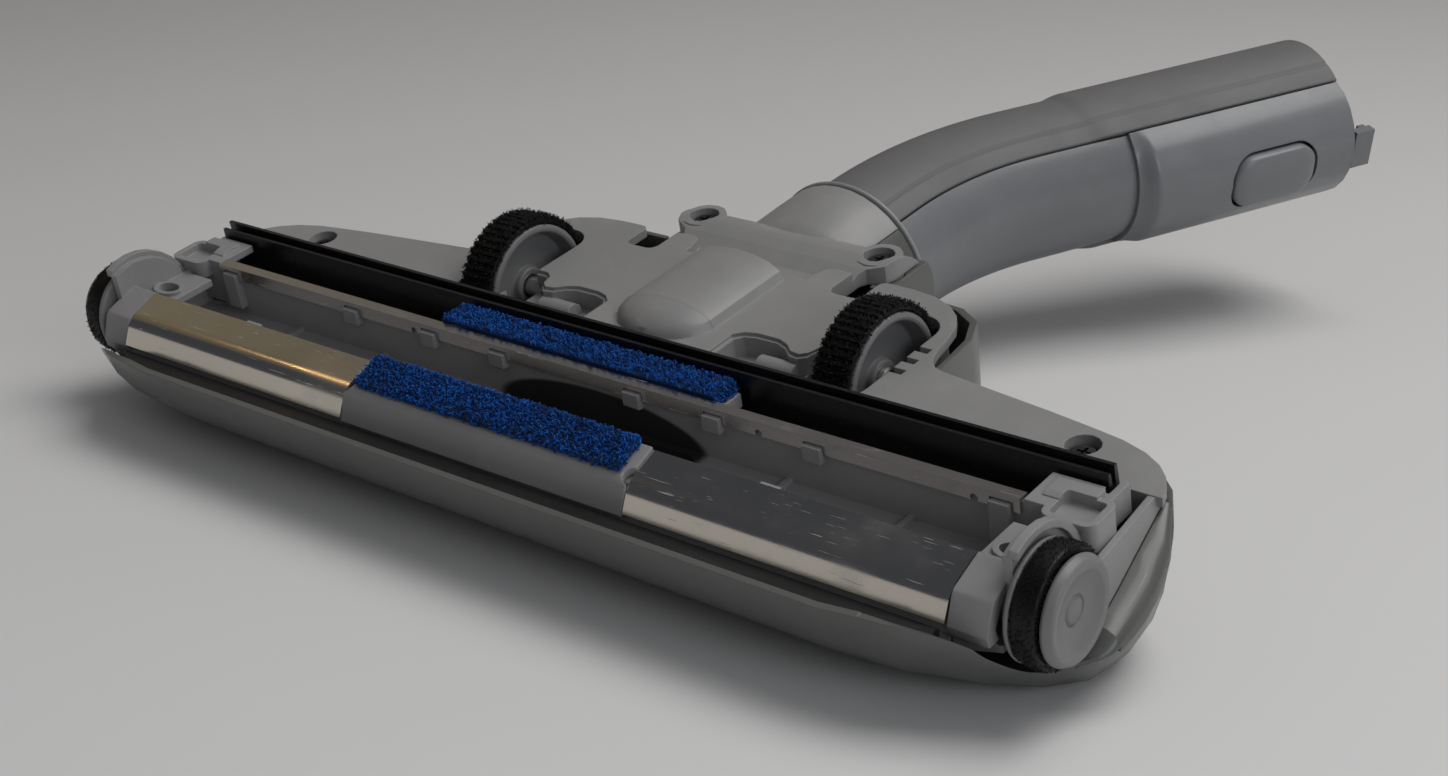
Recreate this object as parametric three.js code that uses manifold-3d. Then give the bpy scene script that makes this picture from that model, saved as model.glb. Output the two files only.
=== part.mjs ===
// Passive floor head of a canister vacuum cleaner, lying upside down on its top cover.
// Millimetres. Outside the head group +Z is up from the table; inside it +Y is the back and +Z the sole
// side.
import * as THREE from 'three';
import { mergeVertices } from 'three/addons/utils/BufferGeometryUtils.js';
import Module from 'manifold-3d';

const wasm = await Module();
wasm.setup();

// ---------------------------------------------------------------- driving sizes
const gap = 0.3; // clearance between pieces that touch
const beyond = 300; // past the whole part, for cuts that run through
const wall = 2.2; // moulded walls
const lean = THREE.MathUtils.degToRad(12); // slope of the cover's crown against the sole

// Sliding sole: rear strip's edge is y = 0, z = 0.
const frameHalf = 118.7; // half-length of the slide plates
const barBendY = -30.2; // front plate's bend line
const barBendZ = -2.7;
const barBackY = -21;
const barBackZ = 0.2;
const plateThick = 0.8;
const plateLegDrop = 6.2; // height of the plate's front leg
const plateLegRake = 2.4; // how far the leg leans forward
const carrierHalf = 41.5; // front pad carrier
const padHalf = carrierHalf - 1.5; // lint pads
const padThick = 1.6;
const troughFloorZ = -13;
const mouthHalf = 38; // suction mouth in the trough's floor
const rearWallY = -2.2;
const stripHeight = 2.2; // rear strip's front leg
const stripThick = 0.5;
const ledgeY = 9.2; // back edge of the frame behind the rear wall
const tabPlaces = [20, 42, 68, 112]; // snap tabs along the rear wall, each side
const tabWide = 4.4;

// Rear rubber flap.
const flapHalf = frameHalf + 9.5;
const flapTopZ = 2.8;
const flapTopY = 11.6;
const flapRootZ = -6.2;

const soleFrontY = ledgeY + 7.4; // front edge of the base

// Rear wheels.
const bigWheelFaceX = 57.9;
const bigWheelWide = 10.3;
const bigWheelY = soleFrontY + 21.7;
const bigWheelZ = -11.7;
const bigTyreR = 17.7;
const bigHubR = 16;
const bigTyreRibs = 56;
const bigAxleR = 2.5;

// Base plate.
const soleZ = -5.6; // its outer face
const soleHalf = frameHalf + 16.3;
const wellHalfY = 19.2; // wheel well, half-length
const wellInnerX = bigWheelFaceX - 12.5;
const wellOuterX = bigWheelFaceX + 2.4;
const wellDepth = 27;
const wellWall = 1.5;
const axleLength = 12;
const combSlots = [-3.9, 0.9, 5.9].map((past) => bigWheelY + past);
const notchOuterX = 35.3; // notches beside the neck
const baseRearY = bigWheelY + wellHalfY + 9; // rear edge of the base's face
const neckFaceZ = -8;
const neckHalf = 31;
const slabHalf = 26.2; // step between the base's face and the cheeks

// Front wheels.
const bracketOuterX = frameHalf + 8.9; // end bracket's outer wall
const smallWheelFaceX = bracketOuterX + 11.3;
const smallWheelY = -19.2;
const smallWheelZ = -7.7;
const smallTyreR = 12.2;
const smallTyreWide = 5;
const smallHubR = 10.8;
const smallFlangeR = 11.9; // inner flange
const smallAxleR = 2;

const fenderOuterX = bracketOuterX + 2.8;
const wheelInnerX = bracketOuterX + 1.4;
const armOuterX = bracketOuterX + 5.4;
const ovalX = bracketOuterX - 5.1;
const ovalY = -14.6;

// Top cover.
const coverHalf = frameHalf + 23.7;
const coverFrontY = barBendY - 13.2;
const coverRimZ = -5;
const crownZ = -35.8; // crown plane's height at y = 0
const restY = 24; // middle of the crown's flat face
const houseInset = 4.5; // the wheelhouse's
const bumperInset = 28; // how far the crown's edge lies inside the bumper

// Screws.
const soleScrewX = frameHalf - 6.7;
const soleScrewY = 26.4;
const neckScrewX = 26.6;
const noseY = baseRearY + 9; // centre of the cheeks' round nose
const neckScrewY = noseY + 2.1;
const cheekFaceZ = -5.2; // top of the cheeks' noses
const cheekHalf = 32.2;
const screwHeadR = 3.2;
const screwShankR = 1.5;
const screwLength = 12;

// Swivel neck.
const noseZ = -17;
const cheekR = 13.2;
const collarZ = -24.5; // its axis
const collarEndY = noseY + 22.5;
const tubeR = 20.2; // elbow's outside
const collarR = tubeR + 2.2; // outside of the collar
const flangeR = tubeR - 0.8; // retaining flange in the collar's groove
const ringThick = 3;
const tubeWall = 2.4;
const spigotR = tubeR - 3.6; // swivel tube inside the collar
const spigotWall = 2;
const spigotStartY = collarEndY - 19;
const flangeY = collarEndY - 15;
const flangeThick = 2.4;
const sealThick = 2.6;
const bendRadius = 108;
const bendAngle = THREE.MathUtils.degToRad(26);
const straightLength = 94;
const neckTurn = THREE.MathUtils.degToRad(10.5); // the elbow hangs this much below sideways
const latchCoverLength = straightLength - 26;
const latchCoverLift = 3.9;
const seamGap = 0.35;
const buttonLength = 26;
const buttonWide = 15;
const buttonFromEnd = 27;
const innerSpan = THREE.MathUtils.degToRad(53); // inner shell, each way from the inside of the bend
const pivotAlong = 16; // lever's pin, from the button's middle
const leverR0 = tubeR - 0.1;
const leverR1 = tubeR + 1.7;
const leverHalf = 2.6;
const latchTab = 7; // how far the lever reaches past the tube's end
const pinR = 1;
const pinHalf = 8.8;

// ---------------------------------------------------------------- solids
function solidOf(geometry) {
  const bare = new THREE.BufferGeometry();
  bare.setAttribute('position', geometry.getAttribute('position').clone());
  if (geometry.index) bare.setIndex(geometry.index.clone());
  const merged = mergeVertices(bare, 1e-4);
  const corners = merged.index.array;
  const kept = [];
  for (let i = 0; i < corners.length; i += 3) {
    const [a, b, c] = corners.slice(i, i + 3);
    if (a !== b && b !== c && c !== a) kept.push(a, b, c);
  }
  const vertProperties = merged.attributes.position.array;
  return new wasm.Manifold(new wasm.Mesh({ numProp: 3, vertProperties, triVerts: new Uint32Array(kept) }));
}

function geometryOf(solid) {
  const made = solid.getMesh();
  const geometry = new THREE.BufferGeometry();
  geometry.setAttribute('position', new THREE.BufferAttribute(made.vertProperties, 3));
  geometry.setIndex(new THREE.BufferAttribute(made.triVerts, 1));
  geometry.computeVertexNormals();
  return geometry;
}

const join = (...solids) => solids.reduce((whole, next) => whole.add(next));
const cut = (solid, ...tools) => tools.reduce((rest, tool) => rest.subtract(tool), solid);
const bothSides = (make) => [make(-1), make(1)];

function block(x0, x1, y0, y1, z0, z1) {
  const box = new THREE.BoxGeometry(Math.abs(x1 - x0), Math.abs(y1 - y0), Math.abs(z1 - z0));
  box.translate((x0 + x1) / 2, (y0 + y1) / 2, (z0 + z1) / 2);
  return solidOf(box);
}

function shapeOf(outline) {
  if (outline instanceof THREE.Shape) return outline;
  return new THREE.Shape(outline.map(([x, y]) => new THREE.Vector2(x, y)));
}

// Outline in X and Y, raised from z0 to z1.
function alongZ(outline, z0, z1, curveSegments = 6) {
  const options = { depth: z1 - z0, bevelEnabled: false, curveSegments };
  const geometry = new THREE.ExtrudeGeometry(shapeOf(outline), options);
  geometry.translate(0, 0, z0);
  return solidOf(geometry);
}

// Outline in Y and Z, run from x0 to x1.
function alongX(outline, x0, x1, curveSegments = 6) {
  const [from, to] = x0 < x1 ? [x0, x1] : [x1, x0];
  const options = { depth: to - from, bevelEnabled: false, curveSegments };
  const geometry = new THREE.ExtrudeGeometry(shapeOf(outline), options);
  const turn = new THREE.Matrix4().makeBasis(
    new THREE.Vector3(0, 1, 0),
    new THREE.Vector3(0, 0, 1),
    new THREE.Vector3(1, 0, 0),
  );
  geometry.applyMatrix4(turn);
  geometry.translate(from, 0, 0);
  return solidOf(geometry);
}

// Profile of [radius, height] turned round an axis through a point, along 'x', 'y' or 'z'.
function turned(profile, axis, [x, y, z], segments = 32) {
  const area = profile.reduce((sum, [r, h], i) => {
    const [nextR, nextH] = profile[(i + 1) % profile.length];
    return sum + r * nextH - nextR * h;
  }, 0);
  const ordered = area > 0 ? profile : [...profile].reverse();
  const closed = [...ordered, ordered[0]];
  const geometry = new THREE.LatheGeometry(closed.map(([r, h]) => new THREE.Vector2(r, h)), segments);
  if (axis === 'x') geometry.rotateZ(-Math.PI / 2);
  if (axis === 'z') geometry.rotateX(Math.PI / 2);
  geometry.translate(x, y, z);
  return solidOf(geometry);
}

const rod = (radius, h0, h1, axis, place, segments = 32) =>
  turned([[0, h0], [radius, h0], [radius, h1], [0, h1]], axis, place, segments);

// Closed solid through a list of rings that hold the same number of points; flatten gives a ring's 2D
// outline.
function loft(rings, flatten) {
  const count = rings[0].length;
  const faces = [];
  for (let r = 0; r + 1 < rings.length; r += 1) {
    for (let i = 0; i < count; i += 1) {
      const a = r * count + i;
      const b = r * count + (i + 1) % count;
      faces.push([a, b, b + count], [a, b + count, a + count]);
    }
  }
  const cap = (ring, start, along) => {
    const outline = ring.map(flatten);
    const winding = Math.sign(THREE.ShapeUtils.area(outline));
    for (const [a, b, c] of THREE.ShapeUtils.triangulateShape(outline, [])) {
      const sameWay = Math.sign(THREE.ShapeUtils.area([outline[a], outline[b], outline[c]])) === winding;
      faces.push(sameWay === along ? [start + a, start + b, start + c] : [start + a, start + c, start + b]);
    }
  };
  cap(rings[0], 0, false);
  cap(rings[rings.length - 1], (rings.length - 1) * count, true);
  const points = rings.flat();
  const volume = faces.reduce((sum, [a, b, c]) =>
    sum + points[a].dot(new THREE.Vector3().crossVectors(points[b], points[c])), 0);
  const outward = volume > 0 ? faces : faces.map(([a, b, c]) => [a, c, b]);
  const geometry = new THREE.BufferGeometry();
  geometry.setAttribute('position',
    new THREE.Float32BufferAttribute(points.flatMap((p) => p.toArray()), 3));
  geometry.setIndex(outward.flat());
  return solidOf(geometry);
}

function roundedRect(xA, xB, y0, y1, r) {
  const [x0, x1] = xA < xB ? [xA, xB] : [xB, xA];
  const shape = new THREE.Shape();
  shape.moveTo(x0 + r, y0);
  shape.lineTo(x1 - r, y0);
  shape.absarc(x1 - r, y0 + r, r, -Math.PI / 2, 0);
  shape.lineTo(x1, y1 - r);
  shape.absarc(x1 - r, y1 - r, r, 0, Math.PI / 2);
  shape.lineTo(x0 + r, y1);
  shape.absarc(x0 + r, y1 - r, r, Math.PI / 2, Math.PI);
  shape.lineTo(x0, y0 + r);
  shape.absarc(x0 + r, y0 + r, r, Math.PI, Math.PI * 1.5);
  return shape;
}

// ---------------------------------------------------------------- outlines
const crownAt = (y) => crownZ - Math.tan(lean) * y;

// Plan of the cover's long wing, drawn inside its widest outline by an inset that counts half at the ends.
function wingOutline(inset) {
  const half = coverHalf - inset / 2;
  const front = coverFrontY + inset;
  const sideFront = front + 26.4 - 0.6 * inset;
  const sideBack = 17 - 0.3 * inset;
  const share = (t) => THREE.MathUtils.lerp(sideFront, sideBack, t);
  const shape = new THREE.Shape();
  const cornerY = front + 11.4 - 0.3 * inset;
  shape.moveTo(-half + 44, front);
  shape.lineTo(half - 44, front);
  shape.bezierCurveTo(half - 22, front, half - 5.4, cornerY, half - 1, sideFront);
  shape.bezierCurveTo(half, share(0.4), half + 0.4, share(0.75), half - 5, sideBack);
  shape.bezierCurveTo(half - 9, 27 - inset * 0.6, half - 19, 34 - inset * 0.8, half - 36, 36.4 - inset);
  shape.lineTo(66, 42 - inset);
  shape.lineTo(-66, 42 - inset);
  shape.lineTo(-half + 36, 36.4 - inset);
  shape.bezierCurveTo(-half + 19, 34 - inset * 0.8, -half + 9, 27 - inset * 0.6, -half + 5, sideBack);
  shape.bezierCurveTo(-half - 0.4, share(0.75), -half, share(0.4), -half + 1, sideFront);
  shape.bezierCurveTo(-half + 5.4, cornerY, -half + 22, front, -half + 44, front);
  return shape;
}

function wheelhouseOutline(inset) {
  const half = wellOuterX + 6.9 - inset;
  const back = baseRearY + 1.9 - inset;
  const turnY = baseRearY - 22.5;
  const shape = new THREE.Shape();
  shape.moveTo(-half, 0);
  shape.lineTo(half, 0);
  shape.lineTo(half, turnY);
  shape.bezierCurveTo(half - 0.2, back - 4.4, half - 5, back, half - 20, back);
  shape.lineTo(-half + 20, back);
  shape.bezierCurveTo(-half + 5, back, -half + 0.2, back - 4.4, -half, turnY);
  return shape;
}

const flatXY = (p) => new THREE.Vector2(p.x, p.y);

// A tub that narrows from its rim to the sloping crown plane.
function tub(outline, rimZ, offset, crownInset, steps = 6) {
  const rings = [];
  for (let i = 0; i <= steps; i += 1) {
    const turn = (i / steps) * Math.PI / 2;
    const lip = offset * Math.min(1, 0.55 + 0.25 * i);
    const inset = lip + crownInset * (1 - Math.cos(turn));
    const points = outline(inset).getPoints(4);
    if (points[0].distanceTo(points[points.length - 1]) < 1e-6) points.pop();
    rings.push(points.map((p) => {
      const floor = crownAt(p.y) + offset;
      return new THREE.Vector3(p.x, p.y, rimZ + (floor - rimZ) * Math.sin(turn));
    }));
  }
  return loft(rings.reverse(), flatXY);
}

// Neck hump of the cover: a barrel round the collar between two rounded cheeks.
function neckHump(offset) {
  const front = baseRearY - 26.5;
  const bendY = baseRearY - 12.5;
  const barrel = join(
    rod(collarR + 1.6 - offset, front, noseY + 5 - offset, 'y', [0, 0, collarZ], 32),
    rod(collarR - offset, front, collarEndY + offset, 'y', [0, 0, collarZ], 32));
  const half = neckHalf + 2.4 - offset;
  const noseR = cheekR - offset;
  const cheek = new THREE.Shape();
  cheek.moveTo(front, neckFaceZ);
  cheek.lineTo(front, crownAt(front) + offset + 6);
  cheek.lineTo(bendY, crownAt(bendY) + offset + 8);
  cheek.absarc(noseY, noseZ, noseR, -1.9, 0.75);
  const shoulders = alongX(cheek, -half, half, 7);
  const ceiling = block(-beyond, beyond, -beyond, beyond, neckFaceZ - 2.5 + 2 * offset, beyond);
  return cut(join(barrel, shoulders), ceiling, crownBlock(-offset));
}

// Everything under the crown plane, used to flatten the cover's lowest face.
function crownBlock(drop) {
  const outline = [[-beyond, crownAt(-beyond) - drop], [-beyond, -beyond], [beyond, -beyond],
    [beyond, crownAt(beyond) - drop]];
  return alongX(outline, -beyond, beyond);
}

// ---------------------------------------------------------------- pieces in head axes
const screws = [
  ...bothSides((side) => ({ name: side < 0 ? 'sole_screw_left' : 'sole_screw_right', x: side * soleScrewX,
    y: soleScrewY, face: soleZ })),
  ...bothSides((side) => ({ name: side < 0 ? 'neck_screw_left' : 'neck_screw_right', x: side * neckScrewX,
    y: neckScrewY, face: cheekFaceZ })),
];
const screwSink = 1.6; // how far a screw's head lies below its face

function screw({ x, y, face }) {
  const top = face - screwSink;
  const head = turned(
    [[0, top - 2], [screwShankR, top - 2], [screwHeadR, top - 1.4], [screwHeadR, top - 0.5],
      [screwHeadR - 0.8, top], [0, top]],
    'z', [x, y, 0], 14);
  const shank = rod(screwShankR, top - screwLength, top - 1.5, 'z', [x, y, 0], 8);
  const slot = (long, wide) => block(x - long, x + long, y - wide, y + wide, top - 0.8, top + 1);
  return cut(join(head, shank), slot(1.6, 0.35), slot(0.35, 1.6));
}

// Room for the swivel tube, its flange and its seal inside the collar.
function collarHollow() {
  const groove = rod(flangeR + gap, flangeY - gap, flangeY + flangeThick + sealThick + 2 * gap, 'y',
    [0, 0, collarZ], 32);
  const bore = rod(spigotR + gap, spigotStartY - 3, collarEndY + 10, 'y', [0, 0, collarZ], 32);
  return [rod(spigotR - spigotWall, baseRearY - 6.5, spigotStartY, 'y', [0, 0, collarZ], 24), bore, groove];
}

// Solid lower half of the collar, between the barrel's front wall and the collar's end.
function collarLug() {
  const lug = rod(collarR - 0.4, spigotStartY - 1, collarEndY, 'y', [0, 0, collarZ], 32);
  return cut(lug, block(-beyond, beyond, 0, beyond, neckFaceZ - 2.5, beyond));
}

// Rim of the cover's ends: down behind the front lip, under the wheel and up along the seam.
const seamEndZ = -8.2;
const coverLean = 0.8; // the wall's draw-in at the rim
const rimDip = [[-46, coverRimZ], [-41.2, coverRimZ], [-39.2, -6.2], [-35.9, -8.9], [-34.6, -10.8],
  [-32.6, -13.2],
  [-29.6, -16.2], [-27, -18.4], [-24, -19.8], [-17, -20.2], [-10, -20], [-3, -19.2], [8, -16], [16, -12],
  [21, -9], [26, seamEndZ]];
const seam = [[-12, -17.4], [-3, -15.2], [8, -11.6], [19, seamEndZ], [27, seamEndZ]];
const shoulderRows = [-10.5, -6.2, -1.5, 3, 7.5, 12, 16, 19.5];
const heightAlong = (line, y) => {
  const at = line.findIndex((p) => p[0] > y);
  const [[y0, z0], [y1, z1]] = [line[at - 1], line[at]];
  return THREE.MathUtils.lerp(z0, z1, (y - y0) / (y1 - y0));
};
const seamZ = (y) => heightAlong(seam, y);
const seamX = (y) => Math.min(coverHalf - THREE.MathUtils.lerp(6.4, 8.6, (y + 6) / 26), endHalf(y) - 1.6);

// Half-length of the cover's outside at a place along its end.
function endHalf(y) {
  const spots = wingOutline(0).getPoints(8).filter((p) => p.x > coverHalf - 22.4);
  const at = spots.findIndex((p) => p.y > y);
  const [a, b] = [spots[at - 1], spots[at]];
  return THREE.MathUtils.lerp(a.x, b.x, (y - a.y) / (b.y - a.y));
}

// Round shoulder of the cover, from its side wall in to the seam under the base's side wall.
function endShoulder(side) {
  const thick = 1.3;
  const turns = [0, 22.5, 45, 67.5, 90].map(THREE.MathUtils.degToRad);
  const rings = shoulderRows.map((y) => {
    const [x, top] = [seamX(y), seamZ(y)];
    const foot = heightAlong(rimDip, y) - 0.2;
    const wide = endHalf(y) - coverLean - x;
    const arc = (less) => turns.map((a) => [x + (wide - less) * Math.cos(a),
      foot + (top - foot - less) * Math.sin(a)]);
    const section = [[x + wide, foot - 1], ...arc(0), ...arc(thick).reverse(),
      [x + wide - thick, foot - 1]];
    return section.map(([px, pz]) => new THREE.Vector3(side * px, y, pz));
  });
  return loft(rings, (p) => new THREE.Vector2(p.x, p.z));
}

function topCover() {
  const rim = coverRimZ;
  const outer = join(
    tub(wingOutline, rim, 0, bumperInset, 6),
    tub(wheelhouseOutline, soleZ - 2.6, 0, houseInset, 4),
    neckHump(0),
  );
  const inner = join(
    tub(wingOutline, rim + 2, wall, bumperInset, 6),
    tub(wheelhouseOutline, soleZ - 1, wall, houseInset, 4),
    neckHump(wall),
  );
  // The rim stands high along the front and dips below the wheels at both ends.
  const dip = new THREE.SplineCurve(rimDip.map(([y, z]) => new THREE.Vector2(y, z))).getPoints(22);
  const rimCut = bothSides((side) => alongX(
    [[-60, 10], [-60, rim], ...dip.map((p) => [p.x, p.y]), [beyond, seamEndZ],
      [beyond, 10]], side * (coverHalf - 36), side * beyond));
  const rearRim = block(-beyond, beyond, 8, beyond, soleZ - 2.5, beyond);
  const posts = screws.map(({ x, y, face }) => {
    const top = face - screwSink - 2.3 - wall;
    return rod(screwHeadR + 0.8, crownAt(y) + 1, top, 'z', [x, y, 0], 12).intersect(outer);
  });
  const pilots = screws.map(({ x, y, face }) => rod(screwShankR + gap, face - screwSink - screwLength - 1,
    0, 'z', [x, y, 0], 8));
  const neckNotch = block(-neckHalf, neckHalf, baseRearY - 10.5, baseRearY + 5.5, neckFaceZ - wall - 0.4,
    beyond);
  const cupRooms = screws.map(({ x, y, face }) =>
    rod(screwHeadR + 2.6 + gap, face - screwSink - 2 - wall - gap, 0, 'z', [x, y, 0], 14));
  const shell = cut(outer, inner, ...rimCut, rearRim, neckNotch, crownBlock(0));
  return cut(join(shell, collarLug(), ...bothSides(endShoulder), ...posts), ...pilots, ...cupRooms,
    ...collarHollow());
}


function basePlateOutline() {
  const half = soleHalf;
  const rear = baseRearY;
  const houseX = wellOuterX + 3.7;
  const right = new THREE.Path();
  right.moveTo(half, soleFrontY);
  right.bezierCurveTo(half - 1, 22, half - 5, 28.5, half - 17, 31.4);
  right.bezierCurveTo(half - 30, 34, half - 50, 36.5, houseX + 7, 38.3);
  right.bezierCurveTo(houseX + 2, 39, houseX + 0.8, rear - 23.5, houseX, rear - 16.5);
  right.bezierCurveTo(houseX - 1, rear - 6.5, houseX - 8, rear - 0.5, houseX - 20, rear - 0.1);
  right.lineTo(notchOuterX + 2.3, rear);
  right.quadraticCurveTo(notchOuterX, rear, notchOuterX, rear - 2.1);
  right.lineTo(notchOuterX, rear - 7.1);
  right.quadraticCurveTo(notchOuterX, rear - 9.3, notchOuterX - 2.3, rear - 9.3);
  right.lineTo(slabHalf + 2.4, rear - 9.3);
  right.quadraticCurveTo(slabHalf + 0.2, rear - 9.1, slabHalf, rear - 6.5);
  const points = right.getPoints(5);
  const left = points.map((p) => new THREE.Vector2(-p.x, p.y)).reverse();
  return new THREE.Shape([...points, ...left]);
}

// The neck's sole side: a lower step behind the base's face, then the noses of the two cheeks.
function neckTop() {
  const nose = [];
  for (let turn = 90; turn > 34; turn -= 12) {
    const angle = THREE.MathUtils.degToRad(turn);
    const radius = cheekFaceZ - noseZ;
    nose.push([noseY + Math.cos(angle) * radius, noseZ + Math.sin(angle) * radius]);
  }
  const under = neckFaceZ - wall;
  const rear = baseRearY;
  const profile = [[rear - 8.9, under], [rear - 8.9, soleZ - 0.6], [rear - 6.9, neckFaceZ + 0.6],
    [rear - 5.5, neckFaceZ], [rear - 0.5, neckFaceZ], [noseY - 4.5, cheekFaceZ - 1], ...nose,
    [noseY + 9.8, under], [neckScrewY - 8, under]];
  const plan = new THREE.Shape();
  plan.moveTo(-slabHalf, rear - 16.5);
  plan.lineTo(slabHalf, rear - 16.5);
  plan.lineTo(slabHalf + 0.2, rear + 2.5);
  plan.bezierCurveTo(slabHalf + 0.4, noseY - 2.9, cheekHalf, noseY - 4.5, cheekHalf, noseY);
  plan.lineTo(cheekHalf, noseY + 19.5);
  plan.lineTo(-cheekHalf, noseY + 19.5);
  plan.lineTo(-cheekHalf, noseY);
  plan.bezierCurveTo(-cheekHalf, noseY - 4.5, -slabHalf - 0.4, noseY - 2.9, -slabHalf - 0.2, rear + 2.5);
  const step = [[18, -16.5], [slabHalf + 0.8, -16.5], [slabHalf + 0.8, 0.5], [21.6, 0.9], [19.4, -0.1],
    [18.2, -4.5]];
  const raised = bothSides((side) => alongZ(step.map(([x, past]) => [side * x, rear + past]), under,
    soleZ));
  return join(alongX(profile, -cheekHalf, cheekHalf), ...raised).intersect(alongZ(plan, -30, 0, 4));
}

// Swelling over the air passage in the base plate, or its hollow when offset.
function ductBulge(offset) {
  const wide = 13.5 - offset;
  const high = 5.2 - offset;
  const body = new THREE.CylinderGeometry(1, 1, 26, 16);
  body.scale(wide, 1, high);
  body.translate(0, baseRearY - 21.5, soleZ);
  const nose = new THREE.SphereGeometry(1, 16, 8);
  nose.scale(wide, 10 - offset, high);
  nose.translate(0, baseRearY - 34.3, soleZ);
  return join(solidOf(body), solidOf(nose));
}

// The shoulder's flat top line rises into the round throat above the swivel tube.
function throat(radius, y0, y1, drop) {
  const steps = 18;
  const stations = [[y0, 0], [y0 + (y1 - y0) * 0.35, 0.7], [y1 - 6, 1], [y1, 1]];
  const rings = stations.map(([y, blend]) => Array.from({ length: steps + 1 }, (_, i) => {
    const turn = Math.PI * i / steps;
    const arcZ = collarZ + radius * Math.sin(turn);
    const flatZ = Math.min(arcZ, neckFaceZ - drop);
    return new THREE.Vector3(radius * Math.cos(turn), y, flatZ + (arcZ - flatZ) * blend);
  }));
  return loft(rings, (p) => new THREE.Vector2(p.z, p.x));
}

// Low seat in front of a rear wheel's inner side, with a tongue of the face beside it.
function axleNotch(side, grow, z0, z1) {
  const near = -18.3;
  const outline = [[25.8 + grow, near], [25.8 + grow, grow - 7.3], [24.4, grow - 5.3], [21.4, grow - 4.5],
    [15.4, grow - 4.5], [12.4, grow - 5.7], [10, grow - 7.7], [7.4, grow - 8.1], [5.8, grow - 6.7],
    [5, grow - 3.7], [3, grow - 2.3], [0, grow - 2.3], [0, near]];
  return alongZ(outline.map(([inside, past]) => [side * (wellInnerX - inside), bigWheelY + past]), z0, z1);
}

// Side wall between the base's end and the cover's seam, over the front wheels' rear halves.
function endSkirt(side) {
  const thick = 1.4;
  const rings = shoulderRows.slice(1).map((y) => {
    const foot = seamZ(y) + gap;
    const footX = seamX(y);
    const topX = footX - 0.8;
    const topZ = Math.max(soleZ - 0.2, foot + 2);
    return [[footX, foot], [topX, topZ], [topX - thick, topZ], [footX - thick, foot]]
      .map(([x, z]) => new THREE.Vector3(side * x, y, z));
  });
  return loft(rings, (p) => new THREE.Vector2(p.x, p.z));
}

function basePlate() {
  const y0 = bigWheelY - wellHalfY;
  const y1 = bigWheelY + wellHalfY;
  const wellFloorZ = soleZ - wellDepth;
  const sheet = alongZ(basePlateOutline(), soleZ - wall, soleZ, 5);
  const neckSlab = neckTop();
  const wells = bothSides((side) => alongZ(
    roundedRect(side * (wellInnerX - wellWall), side * (wellOuterX + wellWall), y0 - wellWall,
      y1 + wellWall, 8),
    wellFloorZ, soleZ - 0.5, 3));
  const wellCuts = bothSides((side) => alongZ(
    roundedRect(side * wellInnerX, side * wellOuterX, y0, y1, 6.5), wellFloorZ + wellWall, 10, 3));
  const saddles = bothSides((side) => block(
    side * (wellInnerX - axleLength), side * (wellInnerX - 0.4), bigWheelY - 5, bigWheelY + 5,
    bigWheelZ - 6, soleZ - 0.5));
  const notches = bothSides((side) => axleNotch(side, 0, soleZ - 5.5, 10)).concat(
    bothSides((side) => axleNotch(side, 0.9, soleZ - 0.8, 10)));
  const notchFloors = bothSides((side) => block(
    side * (wellInnerX - 28.4), side * (wellInnerX - 0.4), bigWheelY - 20.3, bigWheelY - 0.3, soleZ - 7.3,
    soleZ - 0.5));
  const notchPins = bothSides((side) => rod(2.6, -5, 5, 'x',
    [side * (wellInnerX - 12.4), bigWheelY - 8.7, soleZ - 4.6], 14));
  const axleHoles = bothSides((side) => rod(bigAxleR + gap, Math.min(0, side * beyond),
    Math.max(0, side * beyond), 'x', [side * (wellInnerX - axleLength + 1.4), bigWheelY, bigWheelZ], 20));
  const slots = bothSides((side) => combSlots.map((y) => block(
    side * (wellOuterX - 1), side * (wellOuterX + 3.2), y - 1, y + 1, soleZ - 3, 5))).flat();
  const cups = screws.map(({ x, y, face }) =>
    rod(screwHeadR + 2.4, face - screwSink - 2 - wall, face - 0.5, 'z', [x, y, 0], 14));
  const bores = screws.flatMap(({ x, y, face }) => [
    rod(screwHeadR + 0.6, face - screwSink - 2, 5, 'z', [x, y, 0], 14),
    rod(screwShankR + gap, face - 20, 5, 'z', [x, y, 0], 8),
  ]);
  const dome = cut(throat(collarR, noseY - 2.5, collarEndY, 0.5),
    block(-beyond, beyond, 0, beyond, -beyond, neckFaceZ - wall));
  const domeBore = join(...collarHollow(),
    throat(spigotR + gap, baseRearY - 0.5, spigotStartY + 6, wall + 0.3));
  const skirt = cut(
    block(-soleHalf + 4, soleHalf - 4, soleFrontY, soleFrontY + 1.8, soleZ - 7, soleZ - 0.5),
    ...bothSides((side) => block(side * (wellInnerX - 1.4), side * (wellOuterX + 1.7), 10, 30, -40, 5)));
  const ends = bothSides(endSkirt);
  const bulgeHollow = join(
    cut(ductBulge(wall), block(-50, 50, -50, 200, soleZ + 0.1, 50)),
    block(-9, 9, 30, 56, soleZ - 5, soleZ + 0.2));
  const whole = join(sheet, neckSlab, ...wells, ...saddles, ...cups, dome, ductBulge(0),
    skirt, ...ends, ...notchFloors);
  const hollow = cut(join(cut(whole, ...notches), ...notchPins), ...wellCuts, ...axleHoles, ...slots,
    ...bores, domeBore);
  return cut(hollow, bulgeHollow, block(-beyond, beyond, -beyond, beyond, -beyond, soleZ - wellDepth));
}

// Height of the front bar's top under the slide plates.
const barSlope = (barBackZ - barBendZ) / (barBackY - barBendY);
const plateTopAt = (y) => barBendZ + (y - barBendY) * barSlope;
const seatDrop = plateThick + gap;
const legRake = plateLegRake / plateLegDrop;

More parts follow.
